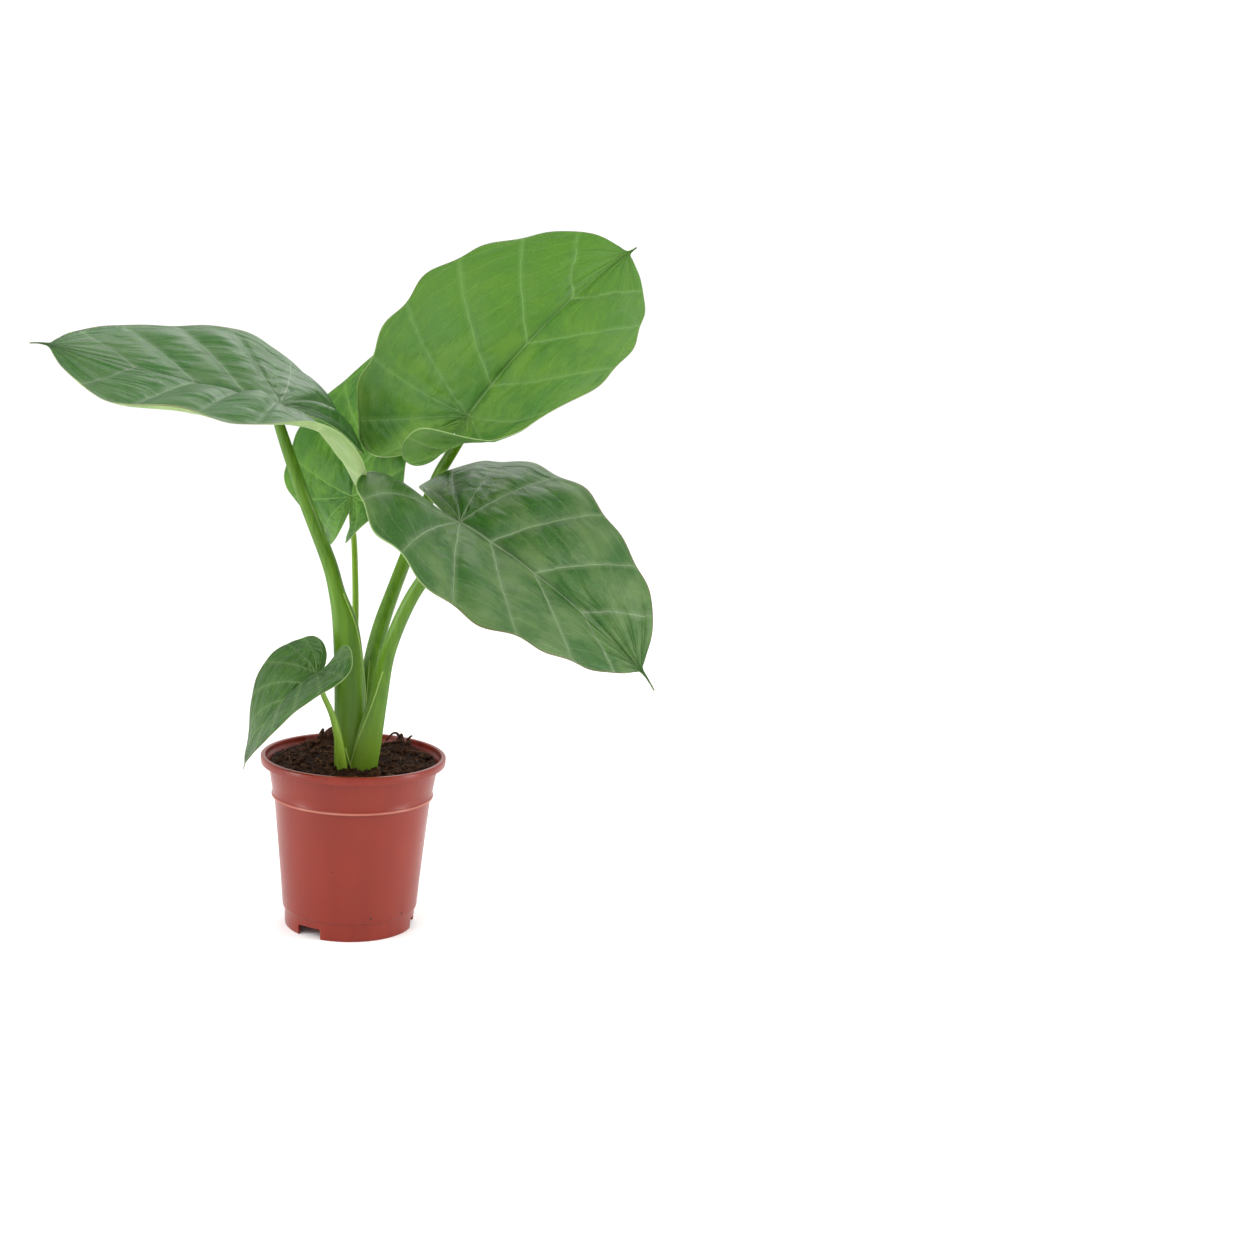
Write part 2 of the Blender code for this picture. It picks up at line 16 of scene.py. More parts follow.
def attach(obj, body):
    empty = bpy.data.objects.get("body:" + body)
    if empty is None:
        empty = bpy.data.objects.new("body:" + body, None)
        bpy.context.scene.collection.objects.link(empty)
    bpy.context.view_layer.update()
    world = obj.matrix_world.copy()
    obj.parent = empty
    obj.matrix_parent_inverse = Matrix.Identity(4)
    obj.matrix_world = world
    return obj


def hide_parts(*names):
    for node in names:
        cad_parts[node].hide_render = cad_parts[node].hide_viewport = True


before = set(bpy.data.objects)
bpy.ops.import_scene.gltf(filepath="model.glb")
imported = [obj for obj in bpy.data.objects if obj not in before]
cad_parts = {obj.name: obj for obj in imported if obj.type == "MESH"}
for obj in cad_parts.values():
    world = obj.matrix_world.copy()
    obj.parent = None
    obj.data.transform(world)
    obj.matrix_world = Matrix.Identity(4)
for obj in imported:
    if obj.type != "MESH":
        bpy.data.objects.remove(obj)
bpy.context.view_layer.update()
print("solids:", sorted(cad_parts))
MM = 0.001

# %% [markdown]
# ## Helpers
# Colours are easier to read off a photograph as 0 to 255 values, so one helper turns them into the linear values that
# shaders use. Another puts a mesh into the scene as a named piece, lets it ride on the plant, and hides the solids it
# stands for. Each piece could spell these steps out, but then a change to one step would be needed in twelve places.


# %% Colour and piece helpers
def colour(r, g, b):
    """A screen colour, 0 to 255, as the linear colour that a shader takes."""
    screen = [c / 255.0 for c in (r, g, b)]
    return tuple(s / 12.92 if s < 0.0404 else ((s + 0.055) / 1.055) ** 2.4 for s in screen) + (1.0,)


def piece(name, mesh, materials, stands_for=()):
    """Put a mesh into the scene, riding on the plant's one body."""
    obj = bpy.data.objects.new(name, mesh)
    bpy.context.scene.collection.objects.link(obj)
    for mat in materials:
        mesh.materials.append(mat)
    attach(obj, "root")
    if stands_for:
        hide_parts(*stands_for)
    return obj


def settled(obj):
    """Apply an object's modifiers, so that what is drawn is what is stored."""
    bpy.context.view_layer.update()
    graph = bpy.context.evaluated_depsgraph_get()
    mesh = bpy.data.meshes.new_from_object(
        obj.evaluated_get(graph), preserve_all_data_layers=True, depsgraph=graph)
    obj.modifiers.clear()
    obj.data = mesh
    return obj


def mesh_from(bm, name, smooth=False):
    """Turn a bmesh into a named mesh and let go of it."""
    mesh = bpy.data.meshes.new(name)
    bm.to_mesh(mesh)
    bm.free()
    if smooth:
        mesh.shade_smooth()
    return mesh


def between_points(before, a, b, after, t):
    """The smooth curve from a to b at share t, with the points on either side of them."""
    return 0.5 * (2 * a + (b - before) * t + (2 * before - 5 * a + 4 * b - after) * t ** 2
                  + (3 * a - before - 3 * b + after) * t ** 3)


print("middle grey is", round(colour(128, 128, 128)[0], 3), "as a linear value")


# %% [markdown]
# ## The camera
# The photograph looks slightly down on the plant from the front, with a long lens, and leans a little to one side.
# The distance is a guess, because the pot's ellipses fix it only roughly. The height, turn, dip, roll and lens below
# weren't chosen by hand: a separate least-squares program worked them out from the ellipses of the rim, the ridge and
# the foot, and they are rounded. They could be set by eye too, by moving the camera until the three ellipses match.
# A camera that is turned and rolled with its own axes needs no shift, so it also serves from other views.

# %% The camera at the photograph's view
CAMERA_AT = Vector((0.0, -1.300, 0.451))
CAMERA_TURN = math.radians(7.47)
CAMERA_DIP = math.radians(10.51)
CAMERA_ROLL = math.radians(2.95)
LENS = 59.1

ahead = Vector((
    math.sin(CAMERA_TURN) * math.cos(CAMERA_DIP),
    math.cos(CAMERA_TURN) * math.cos(CAMERA_DIP),
    -math.sin(CAMERA_DIP)))
level_right = Vector((math.cos(CAMERA_TURN), -math.sin(CAMERA_TURN), 0.0))
level_up = level_right.cross(ahead)
right = math.cos(CAMERA_ROLL) * level_right + math.sin(CAMERA_ROLL) * level_up
up = math.cos(CAMERA_ROLL) * level_up - math.sin(CAMERA_ROLL) * level_right

lens = bpy.data.cameras.new("studio camera")
lens.lens = LENS
lens.sensor_width = 36.0
lens.clip_start = 0.05
camera = bpy.data.objects.new("studio camera", lens)
bpy.context.scene.collection.objects.link(camera)
camera.matrix_world = Matrix((
    (right.x, up.x, -ahead.x, CAMERA_AT.x),
    (right.y, up.y, -ahead.y, CAMERA_AT.y),
    (right.z, up.z, -ahead.z, CAMERA_AT.z),
    (0.0, 0.0, 0.0, 1.0)))
bpy.context.scene.camera = camera
print("camera at", tuple(round(c, 3) for c in CAMERA_AT))

# %% [markdown]
# ## The blade's outline
# A taro blade is an arrow-shaped heart: two rounded lobes run back past the joint where the stalk meets it, and the
# other end draws out into a drip tip. Half the outline is given in shares of the blade's length, x along the midrib
# from the joint and y out from it. A smooth curve through the points makes the margin. Both halves use it. A flat
# picture of a leaf could be cut out instead, but its edge would be blurred close up and couldn't bend with the blade.

# %% The half outline
HALF = (
    (-0.090, 0.000), (-0.140, 0.018), (-0.240, 0.072), (-0.345, 0.160), (-0.375, 0.265), (-0.300, 0.375),
    (-0.120, 0.455), (0.110, 0.482), (0.345, 0.452), (0.575, 0.370), (0.775, 0.256), (0.912, 0.136),
    (0.980, 0.043), (1.004, 0.012), (1.055, 0.004), (1.110, 0.0025),
)
VEINS = np.array((0.0, 3.4, 5.0, 6.3, 7.4, 8.5, 9.6, 10.7, 15.0)) / 15.0


def outline(share):
    """Points on the half outline at shares 0 to 1 of its run."""
    points = np.array(HALF)
    count = len(points) - 1
    where = np.clip(np.asarray(share, float), 0.0, 1.0) * count
    k = np.minimum(where.astype(int), count - 1)
    t = (where - k)[:, None]
    a, b = points[k], points[k + 1]
    before = points[np.maximum(k - 1, 0)]
    after = points[np.minimum(k + 2, count)]
    out = between_points(before, a, b, after, t)
    out[:, 1] = np.maximum(out[:, 1], 0.0)
    return out


print("outline reaches", outline(np.linspace(0, 1, 200)).max(axis=0).round(3))

# %% [markdown]
# ## How a blade hangs
# Each blade is one flat heart, bent. Across, each half folds up or down at the midrib and curls further out. Along,
# the midrib arches over and the lobes bend back. The whole is then turned by heading, pitch and roll at its joint.
# The same few angles place every blade, so the five leaves differ only in their numbers, as leaves of one plant do.


# %% Bend and place a blade
def blend(three, x):
    """A value given at the lobe's end, at the joint and near the tip, blended along the midrib."""
    low = np.clip((x + 0.35) / 0.45, 0.0, 1.0)
    high = np.clip((x - 0.10) / 0.80, 0.0, 1.0)
    low = low * low * (3 - 2 * low)
    high = high * high * (3 - 2 * high)
    return three[0] + (three[1] - three[0]) * low + (three[2] - three[1]) * high


def leaf_axes(leaf):
    """Ahead along the midrib, to the left, and up out of the upper face, at the joint."""
    az, pitch, roll = (math.radians(leaf[key]) for key in ("heading", "pitch", "roll"))
    along = np.array([math.cos(az) * math.cos(pitch), math.sin(az) * math.cos(pitch), math.sin(pitch)])
    flat = np.array([-math.sin(az), math.cos(az), 0.0])
    over = np.cross(along, flat)
    return along, math.cos(roll) * flat + math.sin(roll) * over, math.cos(roll) * over - math.sin(roll) * flat


def blade_points(leaf, side, x, y, lift):
    """Points of the upper face. side is 1 for the left half and -1 for the right one, seen from the joint."""
    size = leaf["length"]
    x = np.where(x > 1.0, 1.0 + (x - 1.0) * leaf["drip"], x)
    fold = np.radians(blend(leaf["fold_left" if side > 0 else "fold_right"], x))
    curl = np.radians(blend(leaf["curl_left" if side > 0 else "curl_right"], x))
    x = np.where(x < 0.0, x * leaf["lobe"], x)
    out = y * leaf["width"] * size
    rate = curl / (0.48 * leaf["width"] * size)
    rate = np.where(np.abs(rate) < 1e-6, 1e-6, rate)
    lean = fold + rate * out
    across = (np.sin(lean) - np.sin(fold)) / rate - np.sin(lean) * lift
    above = (np.cos(fold) - np.cos(lean)) / rate + np.cos(lean) * lift
    s = x * size
    bend = np.radians(np.where(s >= 0.0, -leaf["arch"], leaf["back"] / 0.4)) / size
    bend = np.where(np.abs(bend) < 1e-6, 1e-6, bend)
    slope = bend * s
    forward = np.sin(slope) / bend
    rise = (1.0 - np.cos(slope)) / bend
    twist = np.radians(leaf["twist"]) * np.clip(x, -0.4, 1.0)
    left = across * side * np.cos(twist) - above * np.sin(twist)
    over = across * side * np.sin(twist) + above * np.cos(twist)
    tip = np.clip(x - 1.0, 0.0, None) / 0.11
    f = forward - over * np.sin(slope)
    w = left + np.radians(leaf["sweep"]) * size * np.where(x > 0.0, x, 0.0) ** 2 * 0.5
    h = rise + over * np.cos(slope) - leaf["droop"] * tip ** 2
    along, leftward, upward = leaf_axes(leaf)
    return np.array(leaf["joint"]) + f[:, None] * along + w[:, None] * leftward + h[:, None] * upward


# %% [markdown]
# ## The five leaves
# The joints, lengths, widths and angles weren't designed here. A separate least-squares program worked them out from
# points picked on the blades' outlines and midribs in the photograph, and they are rounded. By hand they would be set
# by eye, heading and pitch first and the folds after them. Four of them were changed: the fold and curl of the left
# blade's near lobe, so that it shows its pale underside, and the back bend and one curl of the small blade.
# Everything from drip on was set one by one. drip is the length of the drip tip and droop how far it hangs, quilt is
# how far the surface puffs up between two veins, wave how far the margin ripples and phase where its ripples start,
# scallop how far the margin draws in at each vein's end, and roll_up how far one margin rolls upwards.

# %% The leaves' numbers
LEAVES = {
    "left": dict(
        joint=(-52 * MM, -5 * MM, 340 * MM), length=143 * MM, width=1.21, lobe=1.35,
        heading=193, pitch=13, roll=-5, arch=-1, back=-38, twist=-24,
        fold_left=(-46, 15, -25), curl_left=(78, -31, 52),
        fold_right=(27, 20, 1), curl_right=(-25, -4, -10), sweep=1,
        drip=0.75, droop=4 * MM, quilt=4.6 * MM, wave=1.6 * MM, phase=0.4, scallop=0.010, roll_up=5.5 * MM),
    "top": dict(
        joint=(67 * MM, 15 * MM, 336 * MM), length=161 * MM, width=1.16, lobe=0.94,
        heading=0, pitch=56, roll=53, arch=41, back=20, twist=25,
        fold_left=(-7, 13, 9), curl_left=(18, -20, -47),
        fold_right=(52, 16, 25), curl_right=(52, 44, -9), sweep=6,
        drip=0.55, droop=-1 * MM, quilt=2.9 * MM, wave=2.8 * MM, phase=1.1, scallop=0.030, roll_up=0.0),
    "right": dict(
        joint=(62 * MM, -35 * MM, 274 * MM), length=149 * MM, width=1.26, lobe=0.88,
        heading=-16, pitch=-28, roll=31, arch=26, back=-32, twist=13,
        fold_left=(-19, 6, 20), curl_left=(8, -20, -45),
        fold_right=(75, 21, 37), curl_right=(-121, -4, -31), sweep=5,
        drip=1.0, droop=3 * MM, quilt=3.4 * MM, wave=3.0 * MM, phase=2.3, scallop=0.034, roll_up=0.0),
    "back": dict(
        joint=(-6 * MM, 78 * MM, 273 * MM), length=111 * MM, width=1.07, lobe=0.80,
        heading=62, pitch=80, roll=-36, arch=23, back=9, twist=4,
        fold_left=(-2, 29, 10), curl_left=(-12, 4, 4),
        fold_right=(23, 0, 15), curl_right=(-5, -16, -9), sweep=0,
        drip=0.7, droop=1 * MM, quilt=1.2 * MM, wave=1.8 * MM, phase=0.9, scallop=0.014, roll_up=0.0),
    "small": dict(
        joint=(-25 * MM, -35 * MM, 175 * MM), length=73 * MM, width=1.14, lobe=0.90,
        heading=205, pitch=-27, roll=4, arch=43, back=60, twist=3,
        fold_left=(19, 9, 10), curl_left=(-40, -16, -16),
        fold_right=(25, 24, -6), curl_right=(-8, -4, -11), sweep=0,
        drip=0.5, droop=1 * MM, quilt=0.7 * MM, wave=0.6 * MM, phase=1.7, scallop=0.010, roll_up=0.0),
}
print("leaves:", ", ".join(LEAVES))

# %% [markdown]
# ## A blade as a sheet of rays
# The mesh follows the leaf's own plumbing. Rays start on the midrib and run out to the margin, bending forwards as
# real side veins do, and every few rays one of them is a main vein. Between main veins the surface puffs up, and on
# each ray it sinks a little where a vein lies. Each point stores where it is between two veins and how far out, so
# that the material can draw veins far finer than the mesh. Solidify then gives the sheet its thickness, with more
# under the veins, because a leaf carries its ribs on the underside.


# %% Build one blade
POINT_VALUES = ("panel", "reach", "panel_width", "along")


def leaf_sheet(name, leaf, rays=168, steps=40):
    """Both halves of a blade as one sheet. Each point keeps where it lies among the veins."""
    u = np.interp(np.linspace(0.0, 1.0, rays + 1), (0.0, 0.88, 1.0), (0.0, 0.80, 1.0))
    edge = outline(u)
    ahead_of = np.clip((edge[:, 0] - 0.20) / 0.80, 0.0, 1.0)
    start = np.where(edge[:, 0] < 1.0, 0.70 * ahead_of ** 1.35 + 0.30 * ahead_of ** 8, edge[:, 0])
    panel = np.interp(u, VEINS, np.arange(len(VEINS)))
    between = panel - np.floor(panel)
    v = (np.arange(steps + 1) / steps) ** 1.15
    inner = np.clip(edge[:, 1] * 2.2, 0.0, 1.0)
    bow = 0.045 * np.sin(math.pi * np.clip((u - 0.15) / 0.75, 0.0, 1.0))
    from_tip = np.clip((1.0 - edge[:, 0]) * 4, 0, 1)
    edge[:, 1] *= 1.0 - leaf["scallop"] * np.cos(2 * math.pi * between) * inner * from_tip
    ray_no = u * 24.0
    halves, faces, marks = {}, [], []
    for side in (1, -1):
        x = start[:, None] + (edge[:, 0] - start)[:, None] * v[None, :]
        x = x - bow[:, None] * (v * (1 - v))[None, :] * 1.6
        y = edge[:, 1][:, None] * v[None, :]
        spread = np.hypot(np.gradient(x, axis=0), np.gradient(y, axis=0) * leaf["width"]) * leaf["length"]
        panel_width = spread / np.maximum(np.gradient(panel)[:, None], 1e-4)
        outwards = np.sin(math.pi * np.clip(v * 1.08, 0.0, 1.0)) ** 0.6
        arch = np.abs(np.sin(math.pi * between))[:, None] * outwards[None, :]
        rung = v[None, :] * 8.0 + 2.4 * (between * (1 - between))[:, None]
        ripple = np.array([
            [0.26 * noise.noise(Vector((p * 1.3 + 7 * side, r, leaf["phase"] * 5)))
             + 0.55 * noise.noise(Vector((p * 1.1, r * 0.3, leaf["phase"] * 9 + side))) for r in row]
            for p, row in zip(panel, rung)])
        puff = leaf["quilt"] * (arch ** 0.7 + ripple * arch ** 0.5) * inner[:, None]
        swell = np.sin(ray_no * 1.35 + leaf["phase"] + side) * inner
        wave = leaf["wave"] * (v ** 3)[None, :] * swell[:, None]
        valley = v[None, :] * np.maximum(edge[:, 1], 0.02)[:, None] * leaf["length"] / (1.6 * MM)
        valley = 0.5 * MM * np.exp(-valley ** 2) * np.clip(1.0 - x, 0.0, 1.0)
        lift = puff * np.clip(np.abs(x) * 8.0, 0.0, 1.0) + wave - valley
        if side > 0:
            stretch = np.clip((u - 0.30) / 0.10, 0, 1) * np.clip((0.84 - u) / 0.16, 0, 1)
            stretch = stretch * (1 + 0.3 * np.sin(ray_no * 1.9))
            rolled = np.clip((v - 0.87) / 0.13, 0, 1) ** 1.5
            lift = lift + leaf["roll_up"] * stretch[:, None] * rolled[None, :]
        points = blade_points(leaf, side, x.ravel(), y.ravel(), lift.ravel())
        halves[side] = points.reshape(rays + 1, steps + 1, 3)
        flat = np.stack([x * leaf["length"], side * y * leaf["width"] * leaf["length"]], -1)
        marks.append({
            "panel": np.broadcast_to(panel[:, None], x.shape).ravel(),
            "reach": np.broadcast_to(v[None, :], x.shape).ravel(),
            "panel_width": panel_width.ravel(),
            "along": x.ravel(),
            "flat": flat.reshape(-1, 2),
        })
        base = 0 if side > 0 else (rays + 1) * (steps + 1)
        cols = steps + 1
        for i in range(rays):
            for j in range(steps):
                a = base + i * cols + j
                quad = (a, a + 1, a + cols + 1, a + cols)
                faces.append(quad if side < 0 else quad[::-1])
    midrib = (halves[1][:, 0] + halves[-1][:, 0]) / 2
    behind = (halves[1][0] + halves[-1][0]) / 2
    for side in (1, -1):
        halves[side][:, 0] = midrib
        halves[side][0] = behind
    verts = np.concatenate([halves[1].reshape(-1, 3), halves[-1].reshape(-1, 3)]).tolist()
    mesh = bpy.data.meshes.new(name)
    mesh.from_pydata(verts, [], faces)
    for key in POINT_VALUES:
        numbers = np.concatenate([mark[key] for mark in marks])
        attribute = mesh.attributes.new(key, "FLOAT", "POINT")
        attribute.data.foreach_set("value", numbers.astype(np.float32))
    flat = np.concatenate([mark["flat"] for mark in marks])
    place = mesh.attributes.new("flat", "FLOAT_VECTOR", "POINT")
    place.data.foreach_set("vector", np.c_[flat, np.zeros(len(flat))].astype(np.float32).ravel())
    bm = bmesh.new()
    bm.from_mesh(mesh)
    bmesh.ops.dissolve_degenerate(bm, edges=bm.edges, dist=1e-6)
    reach_of, panel_of = bm.verts.layers.float["reach"], bm.verts.layers.float["panel"]
    seam = [w for w in bm.verts if w[reach_of] < 1e-6 or w[panel_of] < 1e-6]
    bmesh.ops.remove_doubles(bm, verts=seam, dist=1e-5)
    bm.to_mesh(mesh)
    bm.free()
    return mesh


SKIN, MIDRIB, SIDE_RIB, THICKEST = 0.45, 1.7, 0.8, 2.4


def thicken(obj, leaf):
    """Give the sheet its thickness on the underside, with raised ribs under the midrib and the main veins."""
    mesh = obj.data
    count = len(mesh.vertices)
    read = {}
    for key in POINT_VALUES:
        numbers = np.zeros(count, np.float32)
        mesh.attributes[key].data.foreach_get("value", numbers)
        read[key] = numbers
    panel = read["panel"]
    off = np.abs(panel - np.round(panel)) * read["panel_width"]
    main = np.exp(-(off / (0.9 * MM)) ** 2) * np.clip(1.0 - read["reach"], 0.0, 1.0) ** 0.8
    main[(np.round(panel) < 0.5) | (np.round(panel) > len(VEINS) - 1.5)] = 0.0
    small = min(1.0, leaf["length"] / (145 * MM))
    share = np.clip(1.0 - 0.75 * np.clip(read["along"], 0.0, 1.0), 0.0, 1.0)
    from_midrib = read["reach"] * 0.45 * leaf["length"] / (1.3 * MM)
    middle = np.exp(-from_midrib ** 2) * (read["along"] > -0.01) * share
    thick = SKIN * MM + MIDRIB * MM * small * middle + SIDE_RIB * MM * small * main
    most = THICKEST * MM
    levels = 24
    group = obj.vertex_groups.new(name="thickness")
    for level in range(1, levels + 1):
        chosen = np.nonzero(np.round(thick / most * levels) == level)[0]
        if len(chosen):
            group.add([int(c) for c in chosen], level / levels, "REPLACE")
    solid = obj.modifiers.new("thickness", "SOLIDIFY")
    solid.thickness = most
    solid.offset = -1.0
    solid.vertex_group = "thickness"
    solid.use_quality_normals = True
    solid.material_offset = 1
    solid.material_offset_rim = 2
    return settled(obj)


# %% [markdown]
# ## Node helpers
# Every finish below is drawn by nodes, because nodes stay sharp at any distance and need no picture files. A few short
# helpers add them, so that a material reads like a recipe: some noise, a ramp, a mix of two colours.


# %% Helpers for shader nodes
def add_node(tree, kind, **values):
    node = tree.nodes.new(kind)
    for key, value in values.items():
        setattr(node, key, value)
    return node


def feed(tree, value, socket):
    """Give a socket a number or colour, or link another node's output to it."""
    if isinstance(value, (int, float, tuple)):
        socket.default_value = value
    else:
        tree.links.new(value, socket)


def maths(tree, operation, a, b=None):
    node = add_node(tree, "ShaderNodeMath", operation=operation)
    for k, value in enumerate((a, b)):
        if value is not None:
            feed(tree, value, node.inputs[k])
    return node.outputs[0]


def ramp_between(tree, value, low, high, out_low=0.0, out_high=1.0):
    """A smooth step from out_low to out_high as value goes from low to high."""
    node = add_node(tree, "ShaderNodeMapRange", interpolation_type="SMOOTHSTEP")
    for k, number in enumerate((value, low, high, out_low, out_high)):
        feed(tree, number, node.inputs[k])
    return node.outputs[0]


def read_number(tree, name, output="Fac"):
    node = add_node(tree, "ShaderNodeAttribute", attribute_type="GEOMETRY", attribute_name=name)
    return node.outputs[output]


def noise_of(tree, vector, scale, detail=3.0, rough=0.55):
    node = add_node(tree, "ShaderNodeTexNoise")
    feed(tree, scale, node.inputs["Scale"])
    node.inputs["Detail"].default_value = detail
    node.inputs["Roughness"].default_value = rough
    tree.links.new(vector, node.inputs["Vector"])
    return node.outputs["Fac"]


def mixed(tree, amount, a, b):
    """Mix two colours by a mask. Each colour is a tuple or a socket."""
    node = add_node(tree, "ShaderNodeMix", data_type="RGBA")
    for k, value in ((0, amount), (6, a), (7, b)):
        feed(tree, value, node.inputs[k])
    return node.outputs[2]


def new_group(name, masks, dials):
    """An empty shader group that takes named dials and puts out masks and one normal."""
    group = bpy.data.node_groups.new(name, "ShaderNodeTree")
    for socket in masks:
        group.interface.new_socket(socket, in_out="OUTPUT", socket_type="NodeSocketFloat")
    group.interface.new_socket("Normal", in_out="OUTPUT", socket_type="NodeSocketVector")
    for socket, value in dials.items():
        made = group.interface.new_socket(socket, in_out="INPUT", socket_type="NodeSocketFloat")
        made.default_value = value
    return group, group.nodes.new("NodeGroupInput"), group.nodes.new("NodeGroupOutput")


def placed(tree, group, dials):
    """The group's node in a material, with this material's own values on its dials."""
    node = add_node(tree, "ShaderNodeGroup", node_tree=group)
    for socket, value in dials.items():
        node.inputs[socket].default_value = value
    return node


def bumped(tree, height, strength, depth):
    """A normal that leans with the slopes of a height."""
    bump = add_node(tree, "ShaderNodeBump")
    bump.inputs["Distance"].default_value = depth
    feed(tree, strength, bump.inputs["Strength"])
    tree.links.new(height, bump.inputs["Height"])
    return bump.outputs["Normal"]


print("node helpers: maths, ramp, noise, mix, group, bump")

# %% [markdown]
# ## Leaf finish: what the eye sees
# Close up, a taro blade is not one green. Paler main veins part it into panels, finer veins cross each panel, and a
# netting of the finest ones gives the surface its grain. Patches differ in how much light they take in. A painted image
# could hold all of this, but it would blur close up. The group below draws it from the numbers stored on each point,
# and puts out masks and one bumpy normal, so that each leaf's material can mix its own greens with them.

# %% The leaf vein group
veins, given, shown = new_group(
    "leaf veins", ("Main vein", "Painted vein sheen", "Side vein", "Fine net", "Margin", "Patches", "Ripples"),
    {"Vein width": 1.0, "Relief": 1.0})
panel = read_number(veins, "panel")
reach = read_number(veins, "reach")
width = read_number(veins, "panel_width")
flat = read_number(veins, "flat", "Vector")
wobble = maths(veins, "MULTIPLY", maths(veins, "SUBTRACT", noise_of(veins, flat, 60.0), 0.5), 0.10)
part = maths(veins, "FRACT", maths(veins, "ADD", panel, wobble))
closer = maths(veins, "MINIMUM", part, maths(veins, "SUBTRACT", 1.0, part))
distance = maths(veins, "MULTIPLY", closer, width)
taper = maths(veins, "ADD", maths(veins, "MULTIPLY", maths(veins, "SUBTRACT", 1.0, reach), 0.00085), 0.00030)
taper = maths(veins, "MULTIPLY", taper, given.outputs["Vein width"])
main_line = ramp_between(veins, distance, 0.0, taper, 1.0, 0.0)
midrib_line = ramp_between(veins, reach, 0.004, 0.020, 1.0, 0.0)
main_vein = maths(veins, "MAXIMUM", main_line, midrib_line)
bow_in = maths(veins, "MULTIPLY", maths(veins, "MULTIPLY", part, maths(veins, "SUBTRACT", 1.0, part)), 1.9)
unsteady = maths(veins, "ADD", bow_in, maths(veins, "MULTIPLY", wobble, 6.0))
rung = maths(veins, "FRACT", maths(veins, "ADD", maths(veins, "MULTIPLY", reach, 8.0), unsteady))
rung = maths(veins, "MINIMUM", rung, maths(veins, "SUBTRACT", 1.0, rung))
side_vein = ramp_between(veins, rung, 0.010, 0.060, 1.0, 0.0)
side_vein = maths(veins, "MULTIPLY", side_vein, ramp_between(veins, reach, 0.05, 0.30))
reach_in = ramp_between(veins, width, 0.004, 0.022)
# Painted sheen: a pale band along the main veins stands in for the greyish gloss that light leaves there.
painted_sheen_band = maths(veins, "MULTIPLY", ramp_between(veins, distance, 0.0, 0.0038, 1.0, 0.0), reach_in)
crossing = add_node(veins, "ShaderNodeCombineXYZ")
veins.links.new(maths(veins, "MULTIPLY", panel, 1.4), crossing.inputs[0])
veins.links.new(maths(veins, "ADD", maths(veins, "MULTIPLY", reach, 9.0), bow_in), crossing.inputs[1])
ripples = ramp_between(veins, noise_of(veins, crossing.outputs[0], 0.9, 1.0, 0.4), 0.34, 0.68)
cells = add_node(veins, "ShaderNodeTexVoronoi", feature="DISTANCE_TO_EDGE")
cells.inputs["Scale"].default_value = 520.0
veins.links.new(flat, cells.inputs["Vector"])
net = ramp_between(veins, cells.outputs["Distance"], 0.0, 0.16, 1.0, 0.0)
margin = ramp_between(veins, reach, 0.985, 0.996)
patches = ramp_between(veins, noise_of(veins, flat, 30.0, 4.0, 0.6), 0.38, 0.62)
height = maths(veins, "MULTIPLY", main_vein, -0.25)
height = maths(veins, "SUBTRACT", height, maths(veins, "MULTIPLY", side_vein, 0.15))
height = maths(veins, "ADD", height, maths(veins, "MULTIPLY", ripples, 1.3))
height = maths(veins, "SUBTRACT", height, maths(veins, "MULTIPLY", net, 0.05))
height = maths(veins, "ADD", height, maths(veins, "MULTIPLY", noise_of(veins, flat, 240.0, 2.0), 0.22))
for socket, value in {
        "Main vein": main_vein, "Painted vein sheen": painted_sheen_band, "Side vein": side_vein, "Fine net": net, "Margin": margin,
        "Patches": patches, "Ripples": ripples,
        "Normal": bumped(veins, height, given.outputs["Relief"], 0.0008)}.items():
    veins.links.new(value, shown.inputs[socket])
print("leaf vein group:", len(veins.nodes), "nodes")


# %% [markdown]
# ## Leaf materials
# The upper face is waxy: it takes a soft broad gloss from the sky, strongest where it is seen at a low angle. Light
# also comes through, so a little subsurface scattering keeps the shaded parts green instead of grey. The underside is
# paler and duller. Each leaf gets its own greens, and the older ones are darker. The top one is lit through, and that
# light is painted: its green turns to a glowing green higher up. A pale band painted along the main veins stands for
# the greyish sheen there, and the ripple mask darkens the green as painted shade.


# %% Upper face, underside and margin
EDGE_PALE = colour(138, 162, 104)


